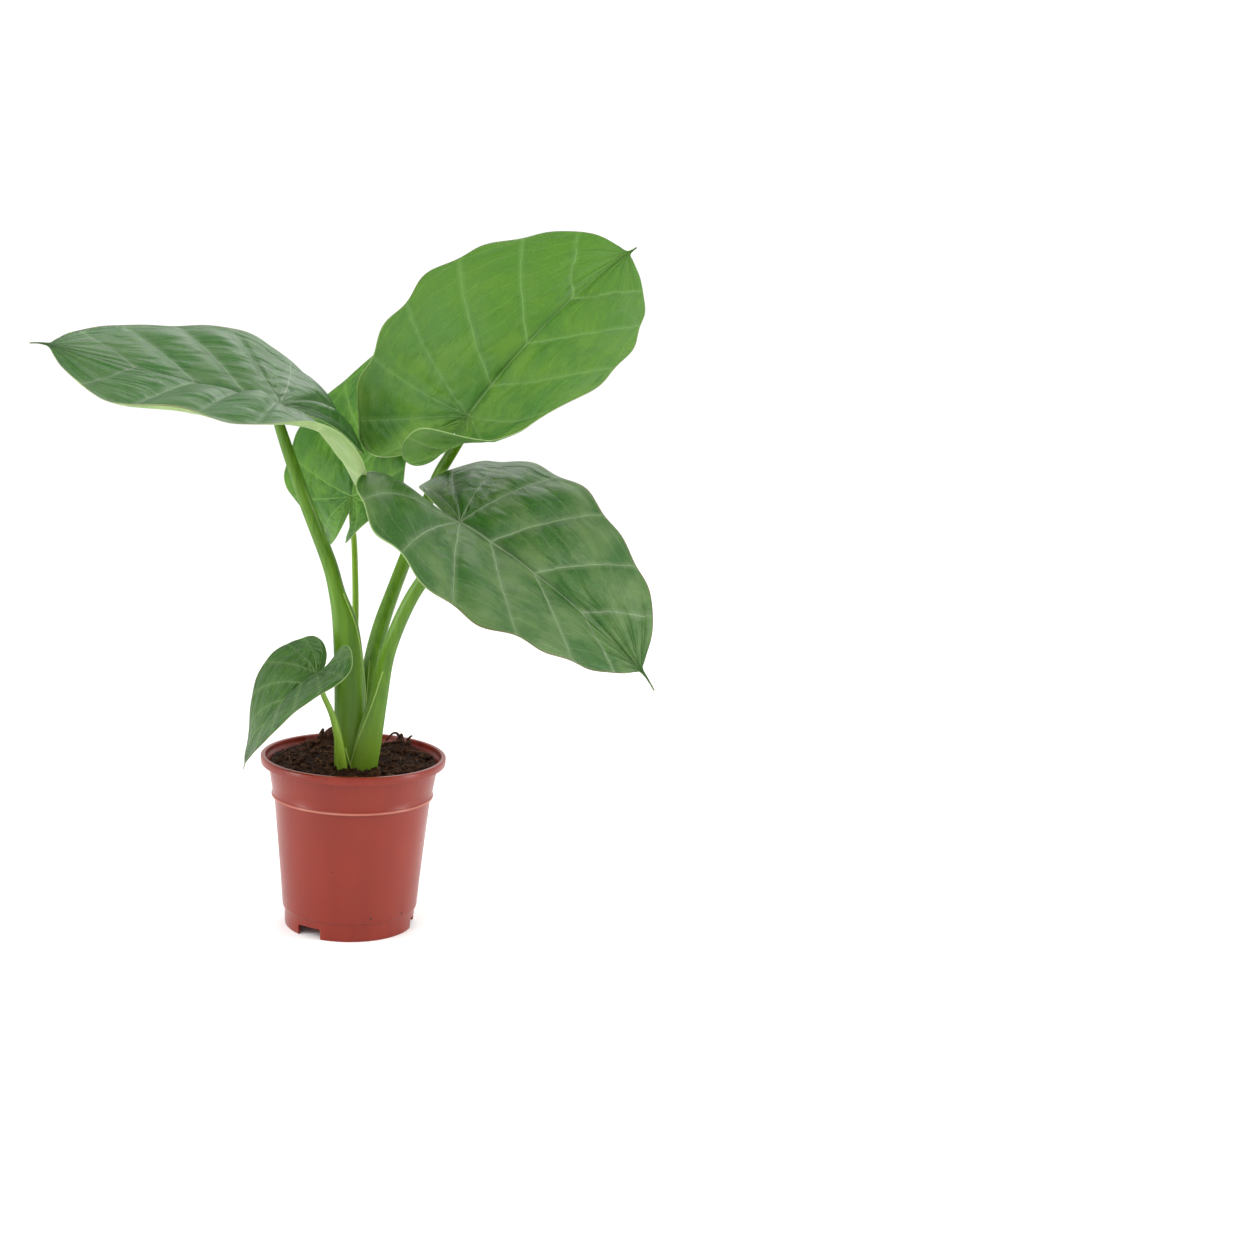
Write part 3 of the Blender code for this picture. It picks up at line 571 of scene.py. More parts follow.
def leaf_material(name, deep, fresh, pale, rim, gloss=0.40, through=0.12, vein_width=1.0, relief=0.8,
                  painted_glow_at=None, shine=0.35, vein_tone=0.66):
    """A blade's face: its greens mixed by the vein group's masks, with a painted glow mixed in higher up when its
    height range and colour are given.
    """
    mat = bpy.data.materials.new(name)
    mat.use_nodes = True
    tree = mat.node_tree
    shader = tree.nodes["Principled BSDF"]
    group = placed(tree, veins, {"Vein width": vein_width, "Relief": relief})
    green = mixed(tree, group.outputs["Patches"], deep, fresh)
    # Painted light: higher up, the green is mixed towards a glow colour, standing in for light shining through the
    # blade.
    if painted_glow_at:
        low, high, glow = painted_glow_at
        spot = add_node(tree, "ShaderNodeSeparateXYZ")
        place = add_node(tree, "ShaderNodeNewGeometry")
        tree.links.new(place.outputs["Position"], spot.inputs[0])
        green = mixed(tree, ramp_between(tree, spot.outputs["Z"], low, high), green, glow)
    # Painted shade: the ripple mask darkens the green, standing in for the shading of the ripples.
    green = mixed(tree, maths(tree, "MULTIPLY", group.outputs["Ripples"], 0.35), green, deep)
    # Painted sheen: the band along the main veins is mixed towards the pale green.
    green = mixed(tree, maths(tree, "MULTIPLY", group.outputs["Painted vein sheen"], 0.24), green, pale)
    green = mixed(tree, maths(tree, "MULTIPLY", group.outputs["Fine net"], 0.06), green, pale)
    green = mixed(tree, maths(tree, "MULTIPLY", group.outputs["Side vein"], 0.14), green, pale)
    green = mixed(tree, maths(tree, "MULTIPLY", group.outputs["Main vein"], vein_tone), green, pale)
    edge_tone = mixed(tree, ramp_between(tree, read_number(tree, "along"), -0.05, 0.25), EDGE_PALE, rim)
    green = mixed(tree, maths(tree, "MULTIPLY", group.outputs["Margin"], 0.75), green, edge_tone)
    tree.links.new(green, shader.inputs["Base Color"])
    rough = maths(tree, "ADD", maths(tree, "MULTIPLY", group.outputs["Patches"], 0.08), gloss)
    tree.links.new(rough, shader.inputs["Roughness"])
    tree.links.new(group.outputs["Normal"], shader.inputs["Normal"])
    shader.inputs["Subsurface Weight"].default_value = through
    shader.inputs["Subsurface Radius"].default_value = (0.6, 1.0, 0.25)
    shader.inputs["Subsurface Scale"].default_value = 0.004
    shader.inputs["Specular IOR Level"].default_value = shine
    return mat


RIM_BROWN = colour(92, 70, 52)
RIM_GREEN = colour(84, 104, 54)
UPPER = {
    "left": leaf_material("left leaf upper", colour(34, 76, 20), colour(62, 90, 52), colour(116, 136, 104),
                          RIM_BROWN, gloss=0.42, relief=1.0, shine=0.30),
    # The top leaf gets a painted glow higher up, for the light that comes through it.
    "top": leaf_material("top leaf upper", colour(48, 92, 24), colour(82, 116, 36), colour(112, 148, 78),
                         RIM_GREEN, gloss=0.46, through=0.18, painted_glow_at=(0.31, 0.46, colour(58, 98, 14)),
                         shine=0.30, vein_tone=0.45),
    "right": leaf_material("right leaf upper", colour(26, 64, 2), colour(68, 92, 48), colour(116, 134, 100),
                           RIM_BROWN, gloss=0.44, shine=0.30),
    "back": leaf_material("back leaf upper", colour(38, 82, 6), colour(72, 114, 24), colour(106, 144, 62),
                          RIM_GREEN, gloss=0.46, shine=0.25),
    "small": leaf_material("small leaf upper", colour(28, 62, 4), colour(46, 80, 14), colour(98, 126, 70),
                           RIM_BROWN, gloss=0.36, vein_width=0.6, shine=0.26),
}
UNDER = leaf_material("leaf underside", colour(122, 146, 92), colour(140, 160, 106), colour(170, 186, 138),
                      RIM_BROWN, gloss=0.55, through=0.1, relief=0.5, shine=0.2)
UNDER_TOP = leaf_material("top leaf underside", colour(76, 112, 48), colour(94, 130, 60),
                          colour(136, 166, 96), RIM_BROWN, gloss=0.5, through=0.15, relief=0.6, shine=0.25)
MARGIN = bpy.data.materials.new("leaf margin")
MARGIN.use_nodes = True
tree = MARGIN.node_tree
spot = add_node(tree, "ShaderNodeNewGeometry")
browner = maths(tree, "MULTIPLY", ramp_between(tree, read_number(tree, "along"), -0.05, 0.25),
                noise_of(tree, spot.outputs["Position"], 140.0))
tone = mixed(tree, browner, EDGE_PALE, RIM_BROWN)
tree.links.new(tone, tree.nodes["Principled BSDF"].inputs["Base Color"])
tree.nodes["Principled BSDF"].inputs["Roughness"].default_value = 0.5

for name, leaf in LEAVES.items():
    below = UNDER_TOP if name == "top" else UNDER
    blade = piece("leaf_" + name, leaf_sheet("leaf " + name, leaf), [UPPER[name], below, MARGIN],
                  ["blade_" + name])
    thicken(blade, leaf)
    blade.data.shade_smooth()
    print(blade.name, len(blade.data.polygons), "faces")

# %% [markdown]
# ## The stalks
# A leaf stalk is round under its blade and widens downwards into a sheath that wraps round the younger stalks. A
# bevelled curve would be quicker, but its section keeps one shape, and these go from round to flat. So each stalk is
# a list of stations from the top down. Their x and z began as points picked on the photograph, which a separate
# program carried to chosen depths, and many were changed afterwards, so that each sheath stands in its place in the
# pot. The y values and the half widths and depths were chosen one by one.

# %% The stalks' numbers: x, y, z, half width, half depth, in mm
STALKS = {
    "right": [
        (50.2, -34.0, 254.3, 3.9, 3.9), (40.7, -34.0, 237.5, 4.2, 4.2), (32.5, -32.5, 222.8, 4.4, 4.4),
        (24.4, -29.5, 202.8, 4.6, 4.6), (18.7, -26.0, 182.6, 4.9, 4.8), (14.2, -22.5, 155.3, 6.2, 4.6),
        (9.6, -19.0, 130.0, 8.2, 4.4), (6.2, -17.6, 108.0, 8.8, 4.2), (5.0, -17.0, 98.0, 8.2, 4.0)],
    "small": [
        (-20.2, -32.0, 160.5, 1.7, 1.7), (-14.6, -29.5, 147.6, 2.0, 2.0), (-10.6, -26.5, 133.0, 2.6, 2.6),
        (-8.2, -23.0, 118.0, 3.2, 3.2), (-6.8, -20.0, 106.0, 3.5, 3.5), (-5.8, -18.4, 98.0, 3.5, 3.5)],
    "left": [
        (-50.5, -4.0, 322.6, 3.5, 3.5), (-35.0, -4.5, 280.2, 4.3, 4.3), (-19.6, -5.5, 242.4, 4.8, 4.8),
        (-13.4, -6.5, 221.3, 5.4, 5.2), (-7.2, -8.0, 197.8, 8.4, 5.0), (-3.6, -9.5, 161.5, 10.0, 5.0),
        (-2.4, -10.0, 133.0, 10.6, 5.0), (-1.6, -10.5, 108.0, 10.8, 4.8), (-1.2, -10.5, 98.0, 10.4, 4.6)],
    "top": [
        (57.8, 34.0, 309.2, 3.7, 3.7), (49.8, 42.0, 292.4, 4.0, 4.0), (39.8, 43.0, 264.0, 4.2, 4.2),
        (29.6, 36.0, 236.2, 4.5, 4.5), (22.4, 28.0, 216.8, 4.7, 4.7), (15.8, 19.0, 197.8, 5.2, 5.2),
        (10.9, 9.5, 177.7, 5.6, 5.6), (6.6, 2.0, 150.7, 5.6, 5.6), (4.0, -2.6, 125.5, 5.2, 5.2),
        (3.0, -4.0, 98.0, 5.0, 5.0)],
    "back": [
        (-5.8, 81.0, 262.0, 1.9, 1.9), (-3.4, 66.0, 240.0, 2.0, 2.0), (-1.5, 37.0, 201.9, 2.2, 2.2),
        (-2.4, 19.0, 176.0, 2.5, 2.5), (-5.0, 7.0, 149.7, 2.9, 2.9), (-6.2, 0.5, 124.4, 3.2, 3.2),
        (-6.5, -3.0, 98.0, 3.4, 3.4)],
}
UNDER_BLADE = {"right": 3.4, "small": 1.4, "left": 3.0, "top": 3.6, "back": 1.8}


print("stations:", {name: len(rows) for name, rows in STALKS.items()})

# %% [markdown]
# ## Lofting a stalk
# Rings of points stand square to a smooth line through the stations, and faces join each ring to the next. Small waves
# round each ring give the faint flutes of a real stalk. The topmost stations aren't listed but worked out from the
# blade's joint, so that a stalk always ends under its own blade.


# %% Build the stalks
def smooth_run(rows, per=7):
    """Stations through the given ones on a smooth curve."""
    rows = np.array(rows, float) * MM
    count = len(rows)
    out = []
    for k in range(count - 1):
        before = rows[max(k - 1, 0)]
        after = rows[min(k + 2, count - 1)]
        for t in np.arange(per) / per:
            out.append(between_points(before, rows[k], rows[k + 1], after, t))
    out.append(rows[-1])
    return np.array(out)


def stalk_mesh(name, sides=48):
    """A stalk from just under its blade down into the soil."""
    leaf = LEAVES[name]
    normal = leaf_axes(leaf)[2]
    joint = np.array(leaf["joint"])
    radius = UNDER_BLADE[name]
    top = []
    for drop, swell in ((0.5 * MM, 1.35), (2.4 * MM, 1.12), (6.0 * MM, 1.0)):
        top.append(list((joint - normal * drop) / MM) + [radius * swell, radius * swell])
    line = smooth_run(top + [list(row) for row in STALKS[name]])
    bm = bmesh.new()
    rings = []
    for k, row in enumerate(line):
        tangent = Vector(line[max(k - 1, 0)][:3] - line[min(k + 1, len(line) - 1)][:3]).normalized()
        across = (Vector((1.0, 0.0, 0.0)) - tangent * tangent.x).normalized()
        depth = tangent.cross(across)
        ring = []
        for s in range(sides):
            a = 2.0 * math.pi * s / sides
            flutes = 1.0 + 0.012 * math.sin(9 * a + row[2] * 30.0) + 0.008 * math.sin(17 * a)
            ring.append(bm.verts.new(Vector(row[:3]) + across * row[3] * math.cos(a) * flutes
                                     + depth * row[4] * math.sin(a) * flutes))
        rings.append(ring)
    for upper, lower in zip(rings, rings[1:]):
        for s in range(sides):
            n = (s + 1) % sides
            bm.faces.new((upper[s], lower[s], lower[n], upper[n]))
    bm.faces.new(rings[0])
    bm.faces.new(list(reversed(rings[-1])))
    bmesh.ops.recalc_face_normals(bm, faces=bm.faces)
    return mesh_from(bm, "stalk " + name, smooth=True)


print("a stalk's line runs through", len(smooth_run(STALKS["top"])), "rings")


# %% [markdown]
# ## Stalk finish
# The stalks are a fresh yellow-green with fine lengthwise streaks, paler near the soil where little light reaches them,
# and smooth enough to show soft highlights. A painted image would have to be unwrapped round each bent stalk, while
# noise squeezed along the height draws streaks without that. The green stalks, the young ones and the sheath margins
# share the effect, so it is one group, and each material mixes its own greens with the group's masks.

# %% The stalk streak group
PALE_FROM, PALE_FULL = 0.160, 0.106
stalk_streaks, given, shown = new_group(
    "stalk streaks", ("Streaks", "Clouds", "Pale foot"), {"Fineness": 420.0, "Relief": 0.3})
place = add_node(stalk_streaks, "ShaderNodeNewGeometry")
squeeze = add_node(stalk_streaks, "ShaderNodeVectorMath", operation="MULTIPLY")
squeeze.inputs[1].default_value = (1.0, 1.0, 0.03)
stalk_streaks.links.new(place.outputs["Position"], squeeze.inputs[0])
fine = noise_of(stalk_streaks, squeeze.outputs[0], given.outputs["Fineness"], 3.0, 0.55)
streaks = ramp_between(stalk_streaks, fine, 0.30, 0.70)
clouds = ramp_between(stalk_streaks, noise_of(stalk_streaks, squeeze.outputs[0], 90.0, 2.0), 0.35, 0.65)
spot = add_node(stalk_streaks, "ShaderNodeSeparateXYZ")
stalk_streaks.links.new(place.outputs["Position"], spot.inputs[0])
pale_foot = ramp_between(stalk_streaks, spot.outputs["Z"], PALE_FROM, PALE_FULL, 0.0, 0.75)
for socket, value in {
        "Streaks": streaks, "Clouds": clouds, "Pale foot": pale_foot,
        "Normal": bumped(stalk_streaks, streaks, given.outputs["Relief"], 0.00015)}.items():
    stalk_streaks.links.new(value, shown.inputs[socket])
print("stalk streak group:", len(stalk_streaks.nodes), "nodes")


# %% Stalk materials
def stalk_material(name, deep, fresh, foot):
    """Stalk skin, from deep to fresh green by its streaks, and paler at the foot."""
    mat = bpy.data.materials.new(name)
    mat.use_nodes = True
    tree = mat.node_tree
    shader = tree.nodes["Principled BSDF"]
    skin = placed(tree, stalk_streaks, {"Fineness": 420.0, "Relief": 0.3})
    green = mixed(tree, maths(tree, "MULTIPLY", skin.outputs["Streaks"], 0.45), deep, fresh)
    green = mixed(tree, maths(tree, "MULTIPLY", skin.outputs["Clouds"], 0.35), green, fresh)
    green = mixed(tree, skin.outputs["Pale foot"], green, foot)
    tree.links.new(green, shader.inputs["Base Color"])
    rough = maths(tree, "ADD", maths(tree, "MULTIPLY", skin.outputs["Streaks"], 0.08), 0.34)
    tree.links.new(rough, shader.inputs["Roughness"])
    tree.links.new(skin.outputs["Normal"], shader.inputs["Normal"])
    shader.inputs["Subsurface Weight"].default_value = 0.15
    shader.inputs["Subsurface Radius"].default_value = (0.6, 1.0, 0.25)
    shader.inputs["Subsurface Scale"].default_value = 0.003
    shader.inputs["Specular IOR Level"].default_value = 0.32
    return mat


GREEN_STALK = stalk_material("green stalk", colour(62, 100, 8), colour(98, 138, 22), colour(112, 142, 40))
YOUNG_STALK = stalk_material("young stalk", colour(100, 136, 30), colour(124, 156, 44), colour(128, 158, 50))
for name in STALKS:
    skin = YOUNG_STALK if name in ("back", "small") else GREEN_STALK
    made = piece("stem_" + name, stalk_mesh(name), [skin], ["stalk_" + name])
    print(made.name, len(made.data.polygons), "faces")

# %% [markdown]
# ## The corm
# The swollen underground stem stays as its solid makes it, because soil hides it. It only needs a fibrous brown skin,
# with the rings that old leaf bases leave. Noise flattened along the height makes those rings.

# %% Corm skin
corm_skin = bpy.data.materials.new("corm skin")
corm_skin.use_nodes = True
tree = corm_skin.node_tree
place = add_node(tree, "ShaderNodeNewGeometry")
flattened = add_node(tree, "ShaderNodeVectorMath", operation="MULTIPLY")
flattened.inputs[1].default_value = (0.3, 0.3, 3.0)
tree.links.new(place.outputs["Position"], flattened.inputs[0])
bands = noise_of(tree, flattened.outputs[0], 220.0, 4.0, 0.7)
shader = tree.nodes["Principled BSDF"]
tree.links.new(mixed(tree, bands, colour(70, 46, 30), colour(132, 98, 66)), shader.inputs["Base Color"])
shader.inputs["Roughness"].default_value = 0.85
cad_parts["corm"].data.materials.clear()
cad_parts["corm"].data.materials.append(corm_skin)
print("corm skin:", len(tree.nodes), "nodes")

# %% [markdown]
# ## The soil
# Potting soil is dark peat with crumbs, bark and pale fibres. A flat disc with a bumpy finish would look painted on
# where the rim's shadow falls across it. So the bed is one disc of rings whose points several sizes of noise push up
# and down, deep enough to throw small shadows, with low heaps where the photograph has them.

# %% The soil bed
SOIL_R = 53.6 * MM
SOIL_Z = 109.3 * MM
SOIL_SIDE = ((53.2, 106.0), (52.6, 103.0), (50.0, 88.0), (49.3, 86.0), (42.4, 13.0), (41.0, 9.3))
HEAPS = ((-19, 37, 6.0, 12), (31, 31, 4.5, 10), (-34, 8, 3.0, 12))
LUMPS = ((0.0, 90.0, 2.0), (0.03, 210.0, 1.3), (0.07, 520.0, 0.9), (0.11, 1300.0, 0.45))
rng = np.random.default_rng(7)


def bed_height(x, y):
    """The height of the crumbly surface above its mean level."""
    r = math.hypot(x, y)
    fade = min(1.0, max(0.0, (SOIL_R - r) / (6.0 * MM)))
    lump = sum(high * noise.noise(Vector((x, y, layer)) * fine) for layer, fine, high in LUMPS)
    heap = sum(high * math.exp(-((x - at_x * MM) ** 2 + (y - at_y * MM) ** 2) / (wide * MM) ** 2)
               for at_x, at_y, high, wide in HEAPS)
    return (lump * (0.35 + 0.65 * fade) + heap * fade) * MM


def soil_mesh(rings=70, around=220):
    """The bed's crumbly top, and its side down the inside of the pot."""
    bm = bmesh.new()
    rows = []
    for i in range(rings + 1):
        r = SOIL_R * i / rings
        row = []
        for s in range(around if i else 1):
            a = 2 * math.pi * s / around
            x, y = r * math.cos(a), r * math.sin(a)
            row.append(bm.verts.new((x, y, SOIL_Z + bed_height(x, y))))
        rows.append(row)
    turns = [2 * math.pi * s / around for s in range(around)]
    for r, z in SOIL_SIDE:
        rows.append([bm.verts.new((r * MM * math.cos(a), r * MM * math.sin(a), z * MM)) for a in turns])
    for s in range(around):
        bm.faces.new((rows[0][0], rows[1][s], rows[1][(s + 1) % around]))
    for inner, outer in zip(rows[1:], rows[2:]):
        for s in range(around):
            n = (s + 1) % around
            bm.faces.new((inner[s], outer[s], outer[n], inner[n]))
    bm.faces.new(list(reversed(rows[-1])))
    bmesh.ops.recalc_face_normals(bm, faces=bm.faces)
    return mesh_from(bm, "soil bed", smooth=True)


print("the bed rises", round(bed_height(-19 * MM, 37 * MM) / MM, 1), "mm at its highest heap")

# %% [markdown]
# ## Earthy finish
# Peat, bark and root fibre are all a mix of dark and pale grains on a rough, dull surface, and differ in colour and in
# the size of the grain. So the grain is one group with its size as a dial, and each material has its own three browns.

# %% The soil grain group
soil_grain, given, shown = new_group("soil grain", ("Lumps", "Specks"), {"Grain": 260.0, "Relief": 0.8})
place = add_node(soil_grain, "ShaderNodeNewGeometry").outputs["Position"]
grain = given.outputs["Grain"]
lumps = ramp_between(soil_grain, noise_of(soil_grain, place, grain, 5.0, 0.7), 0.38, 0.64)
finer = maths(soil_grain, "MULTIPLY", grain, 5.0)
specks = ramp_between(soil_grain, noise_of(soil_grain, place, finer, 3.0, 0.7), 0.55, 0.75)
height = noise_of(soil_grain, place, maths(soil_grain, "MULTIPLY", grain, 3.0), 5.0, 0.7)
for socket, value in {
        "Lumps": lumps, "Specks": specks,
        "Normal": bumped(soil_grain, height, given.outputs["Relief"], 0.0006)}.items():
    soil_grain.links.new(value, shown.inputs[socket])
print("soil grain group:", len(soil_grain.nodes), "nodes")


# %% Soil materials and the bed
def earthy(name, dark, brown, pale, grain_size):
    """A dull, grainy brown."""
    mat = bpy.data.materials.new(name)
    mat.use_nodes = True
    tree = mat.node_tree
    shader = tree.nodes["Principled BSDF"]
    group = placed(tree, soil_grain, {"Grain": grain_size, "Relief": 0.8})
    tone = mixed(tree, group.outputs["Lumps"], dark, brown)
    tone = mixed(tree, maths(tree, "MULTIPLY", group.outputs["Specks"], 0.5), tone, pale)
    tree.links.new(tone, shader.inputs["Base Color"])
    tree.links.new(group.outputs["Normal"], shader.inputs["Normal"])
    shader.inputs["Roughness"].default_value = 0.9
    shader.inputs["Specular IOR Level"].default_value = 0.12
    return mat


PEAT = earthy("peat", colour(24, 13, 9), colour(58, 35, 24), colour(98, 64, 42), 260.0)
CRUMB = earthy("bark crumb", colour(34, 19, 13), colour(74, 46, 31), colour(116, 80, 54), 420.0)
FIBRE = earthy("root fibre", colour(96, 66, 44), colour(136, 100, 70), colour(158, 124, 92), 300.0)
bed = piece("soil_bed", soil_mesh(), [PEAT], ["soil"])
print(bed.name, len(bed.data.polygons), "faces")


# %% [markdown]
# ## Loose crumbs
# Bits of bark and peat lie on the bed in all sizes. Copies of one stone would do from afar, but the eye soon finds
# them. So each crumb is a small ball whose points noise pushes about, turned and flattened its own way, from one
# seeded run of random numbers. The first few are big clods with set places.

# %% Loose crumbs
CLODS = [
    (-22, 40, 4.2), (-14, 42, 3.8), (-17, 37, 4.6), (-29, 33, 3.6), (-36, 20, 3.2), (30, 37, 3.4),
    (36, 31, 3.0), (26, 35, 2.8), (-30, -20, 2.6), (20, -34, 2.4), (-6, 44, 2.8), (-40, 6, 2.6)]


def crumb_mesh(count=620):
    """Clods and crumbs on the bed, apart from where the stalks stand."""
    bm = bmesh.new()
    for n in range(count):
        r = SOIL_R * 0.96 * math.sqrt(rng.random())
        a = rng.random() * 2 * math.pi
        x, y = r * math.cos(a), r * math.sin(a)
        size = (0.6 + 2.4 * rng.random() ** 3) * MM
        if n < len(CLODS):
            x, y, size = (value * MM for value in CLODS[n])
        elif (x / (13 * MM)) ** 2 + ((y + 11 * MM) / (11 * MM)) ** 2 < 1.0:
            continue
        turn = Matrix.Rotation(rng.random() * 6.28, 4, "Z") @ Matrix.Rotation(rng.random() * 6.28, 4, "X")
        flatness = Matrix.Diagonal((1.0, 0.55 + 0.4 * rng.random(), 0.4 + 0.4 * rng.random(), 1.0))
        at = Matrix.Translation((x, y, SOIL_Z + bed_height(x, y) + size * 0.25))
        made = bmesh.ops.create_icosphere(bm, subdivisions=2 if size > 1.4 * MM else 1, radius=size)["verts"]
        shift = Vector((n * 0.37, n * 0.11, 0.0))
        for vert in made:
            vert.co *= 1.0 + 0.38 * noise.noise(vert.co / size * 1.3 + shift)
        bmesh.ops.transform(bm, matrix=at @ turn @ flatness, verts=made)
    return mesh_from(bm, "crumbs")


crumbs = piece("soil_crumbs", crumb_mesh(), [CRUMB])
print(crumbs.name, len(crumbs.data.polygons), "faces")


# %% [markdown]
# ## Fibres and twigs
# Pale root fibres lie on the soil, and dark twigs with a thicker clump of them at the back. Each is a thin bevelled
# curve that sets off in a random direction, bends steadily and keeps above the bed. Curves make round strands from a
# few points. They are joined into one mesh a kind, because a hundred loose objects would each be a piece of its own.


# %% Fibres and twigs
def strand(points, thick):
    """A round strand through the points, thinning towards its end."""
    curve = bpy.data.curves.new("strand", "CURVE")
    curve.dimensions = "3D"
    curve.bevel_depth = thick
    curve.bevel_resolution = 1
    curve.use_fill_caps = True
    spline = curve.splines.new("POLY")
    spline.points.add(len(points) - 1)
    for k, (point, spot) in enumerate(zip(spline.points, points)):
        point.co = (*spot, 1.0)
        point.radius = 1.0 - 0.6 * k / len(points)
    return curve


def strand_mesh(name, runs):
    """One mesh of many strands. Each run is a strand's points and its thickness."""
    bm = bmesh.new()
    for points, thick in runs:
        holder = bpy.data.objects.new("strand", strand(points, thick))
        bpy.context.scene.collection.objects.link(holder)
        bpy.context.view_layer.update()
        graph = bpy.context.evaluated_depsgraph_get()
        part_mesh = bpy.data.meshes.new_from_object(holder.evaluated_get(graph))
        bm.from_mesh(part_mesh)
        bpy.data.objects.remove(holder, do_unlink=True)
        bpy.data.meshes.remove(part_mesh)
    return mesh_from(bm, name, smooth=True)


def laid_on_soil(starts, steps=8):
    """Runs of points over the bed. Each start is a place, a length, a thickness and a rise."""
    runs = []
    for x, y, length, thick, rise in starts:
        heading = rng.random() * 6.28
        bend = (rng.random() - 0.5) * 2.4
        points = []
        z = SOIL_Z + bed_height(x, y) + 0.2 * MM
        px, py = x, y
        for k in range(steps + 1):
            share = k / steps
            a = heading + bend * share
            px += math.cos(a) * length / steps
            py += math.sin(a) * length / steps
            if math.hypot(px, py) > SOIL_R * 0.97:
                break
            lift = rise * math.sin(math.pi * min(1.0, share * 0.9 + 0.1))
            points.append((px, py, max(z, SOIL_Z + bed_height(px, py)) + lift))
        if len(points) > 2:
            runs.append((points, thick))
    return runs


fibre_starts = []
for n in range(90):
    r = SOIL_R * 0.9 * math.sqrt(rng.random())
    a = rng.random() * 2 * math.pi
    length = (4 + 9 * rng.random()) * MM
    thick = (0.10 + 0.16 * rng.random()) * MM
    rise = (0.4 + 1.6 * rng.random() ** 2) * MM
    fibre_starts.append((r * math.cos(a), r * math.sin(a), length, thick, rise))
fibres = piece("soil_fibres", strand_mesh("fibres", laid_on_soil(fibre_starts)), [FIBRE])
TWIGS = [
    (28, 36, 11, 1.5, 5.0), (32, 36, 11, 1.1, 6.0), (34, 33, 10, 1.0, 5.0), (29, 33, 9, 1.0, 6.0),
    (31, 38, 8, 1.3, 4.0), (-30, 24, 9, 0.7, 3.0), (-22, -34, 8, 0.6, 1.5), (28, -30, 9, 0.7, 1.6)]
twig_starts = [tuple(value * MM for value in twig) for twig in TWIGS]
twigs = piece("soil_twigs", strand_mesh("twigs", laid_on_soil(twig_starts)), [CRUMB])
print(fibres.name, len(fibres.data.polygons), twigs.name, len(twigs.data.polygons))

# %% [markdown]
# ## Sheath edges
# Low down, each big stalk is a gutter wrapped round its younger neighbours, and the gutter's thin margin shows as a
# pale line that runs slantwise down the stalk. A thin membrane would be truer, but it would have to wrap round stalks
# that stand side by side here. So a fine strand laid on the stalk's surface, from the middle of its face to its side,
# stands for the raised margin. A papery scale at the foot is a short strand too.


# %% Margins on the sheaths
def on_stalk(name, high, low, angle_high, angle_low, stand_out=0.25 * MM, count=26):
    """Points on a stalk's surface between two heights, turning from one angle to another."""
    line = smooth_run(STALKS[name])
    points = []
    heights = np.linspace(high, low, count) * MM
    angles = np.radians(np.linspace(angle_high, angle_low, count))
    for z, angle in zip(heights, angles):
        x, y, _, half_width, half_depth = (np.interp(-z, -line[:, 2], line[:, k]) for k in range(5))
        points.append((
            x + (half_width + stand_out) * math.cos(angle),
            y + (half_depth + stand_out) * math.sin(angle), z))
    return points


EDGE_STALK = stalk_material("sheath margin", colour(120, 152, 62), colour(146, 174, 88), colour(150, 176, 92))
PAPERY_SCALE = [(-5.4, -23.8, 124), (-4.2, -23.6, 119), (-2.4, -22.8, 114), (-1.0, -21.6, 109)]
papery_run = [tuple(value * MM for value in point) for point in PAPERY_SCALE]
margins = piece("sheath_margins", strand_mesh("sheath margins", [
    (on_stalk("right", 176, 106, 262, 192), 0.55 * MM),
    (on_stalk("left", 222, 128, 318, 352), 0.55 * MM),
    (on_stalk("top", 176, 126, 250, 300), 0.4 * MM),
    (papery_run, 0.5 * MM)]), [EDGE_STALK])
print(margins.name, len(margins.data.polygons), "faces")

# %% [markdown]
# ## The pot
# A nursery pot is blown or moulded in one thin wall: a rolled lip, a collar that tapers to a stacking ridge, a long
# tapered body and a foot with notches that let water out. A Screw modifier could turn its profile, but the faint ribs
# that the mould leaves under the lip have to be pushed out of single points of the wall. So the points are turned
# round Z in a loop, which moves each one as it is made.

# %% The turned wall
RIB_EVERY, RIB_OUT, RIB_HALF = 15.0, 0.22 * MM, 0.9 * MM
POT_STEPS = 360
pot_profile = [
    (58.6, 114.0), (59.3, 113.9), (59.8, 113.5), (60.0, 112.9), (60.0, 111.0), (59.9, 109.4), (59.6, 108.8),
    (59.0, 108.6), (56.0, 108.6), (55.2, 108.4), (54.8, 107.8), (54.75, 107.0), (54.4, 104.6), (53.9, 101.6),
    (52.9, 95.6), (51.8, 89.2), (52.0, 88.8), (52.5, 88.4), (52.7, 87.8), (52.5, 87.2), (51.6, 86.8),
    (50.8, 86.5), (50.7, 85.6), (48.4, 62.0), (46.1, 38.0), (43.95, 13.6), (43.8, 12.8), (43.4, 12.2),
    (42.8, 11.8),
    (42.6, 11.2), (42.3, 2.0), (42.1, 0.4), (41.8, 0.0), (40.8, 0.0), (40.5, 0.4), (40.4, 6.6), (39.8, 7.4),
    (38.6, 7.6), (0.0, 7.6), (0.0, 8.8), (41.4, 8.8), (42.5, 12.6), (49.5, 86.0), (50.3, 87.6), (53.5, 106.4),
    (54.4, 108.4), (56.2, 110.4), (56.7, 111.6), (56.8, 113.2), (57.1, 113.8), (57.7, 114.0),
]


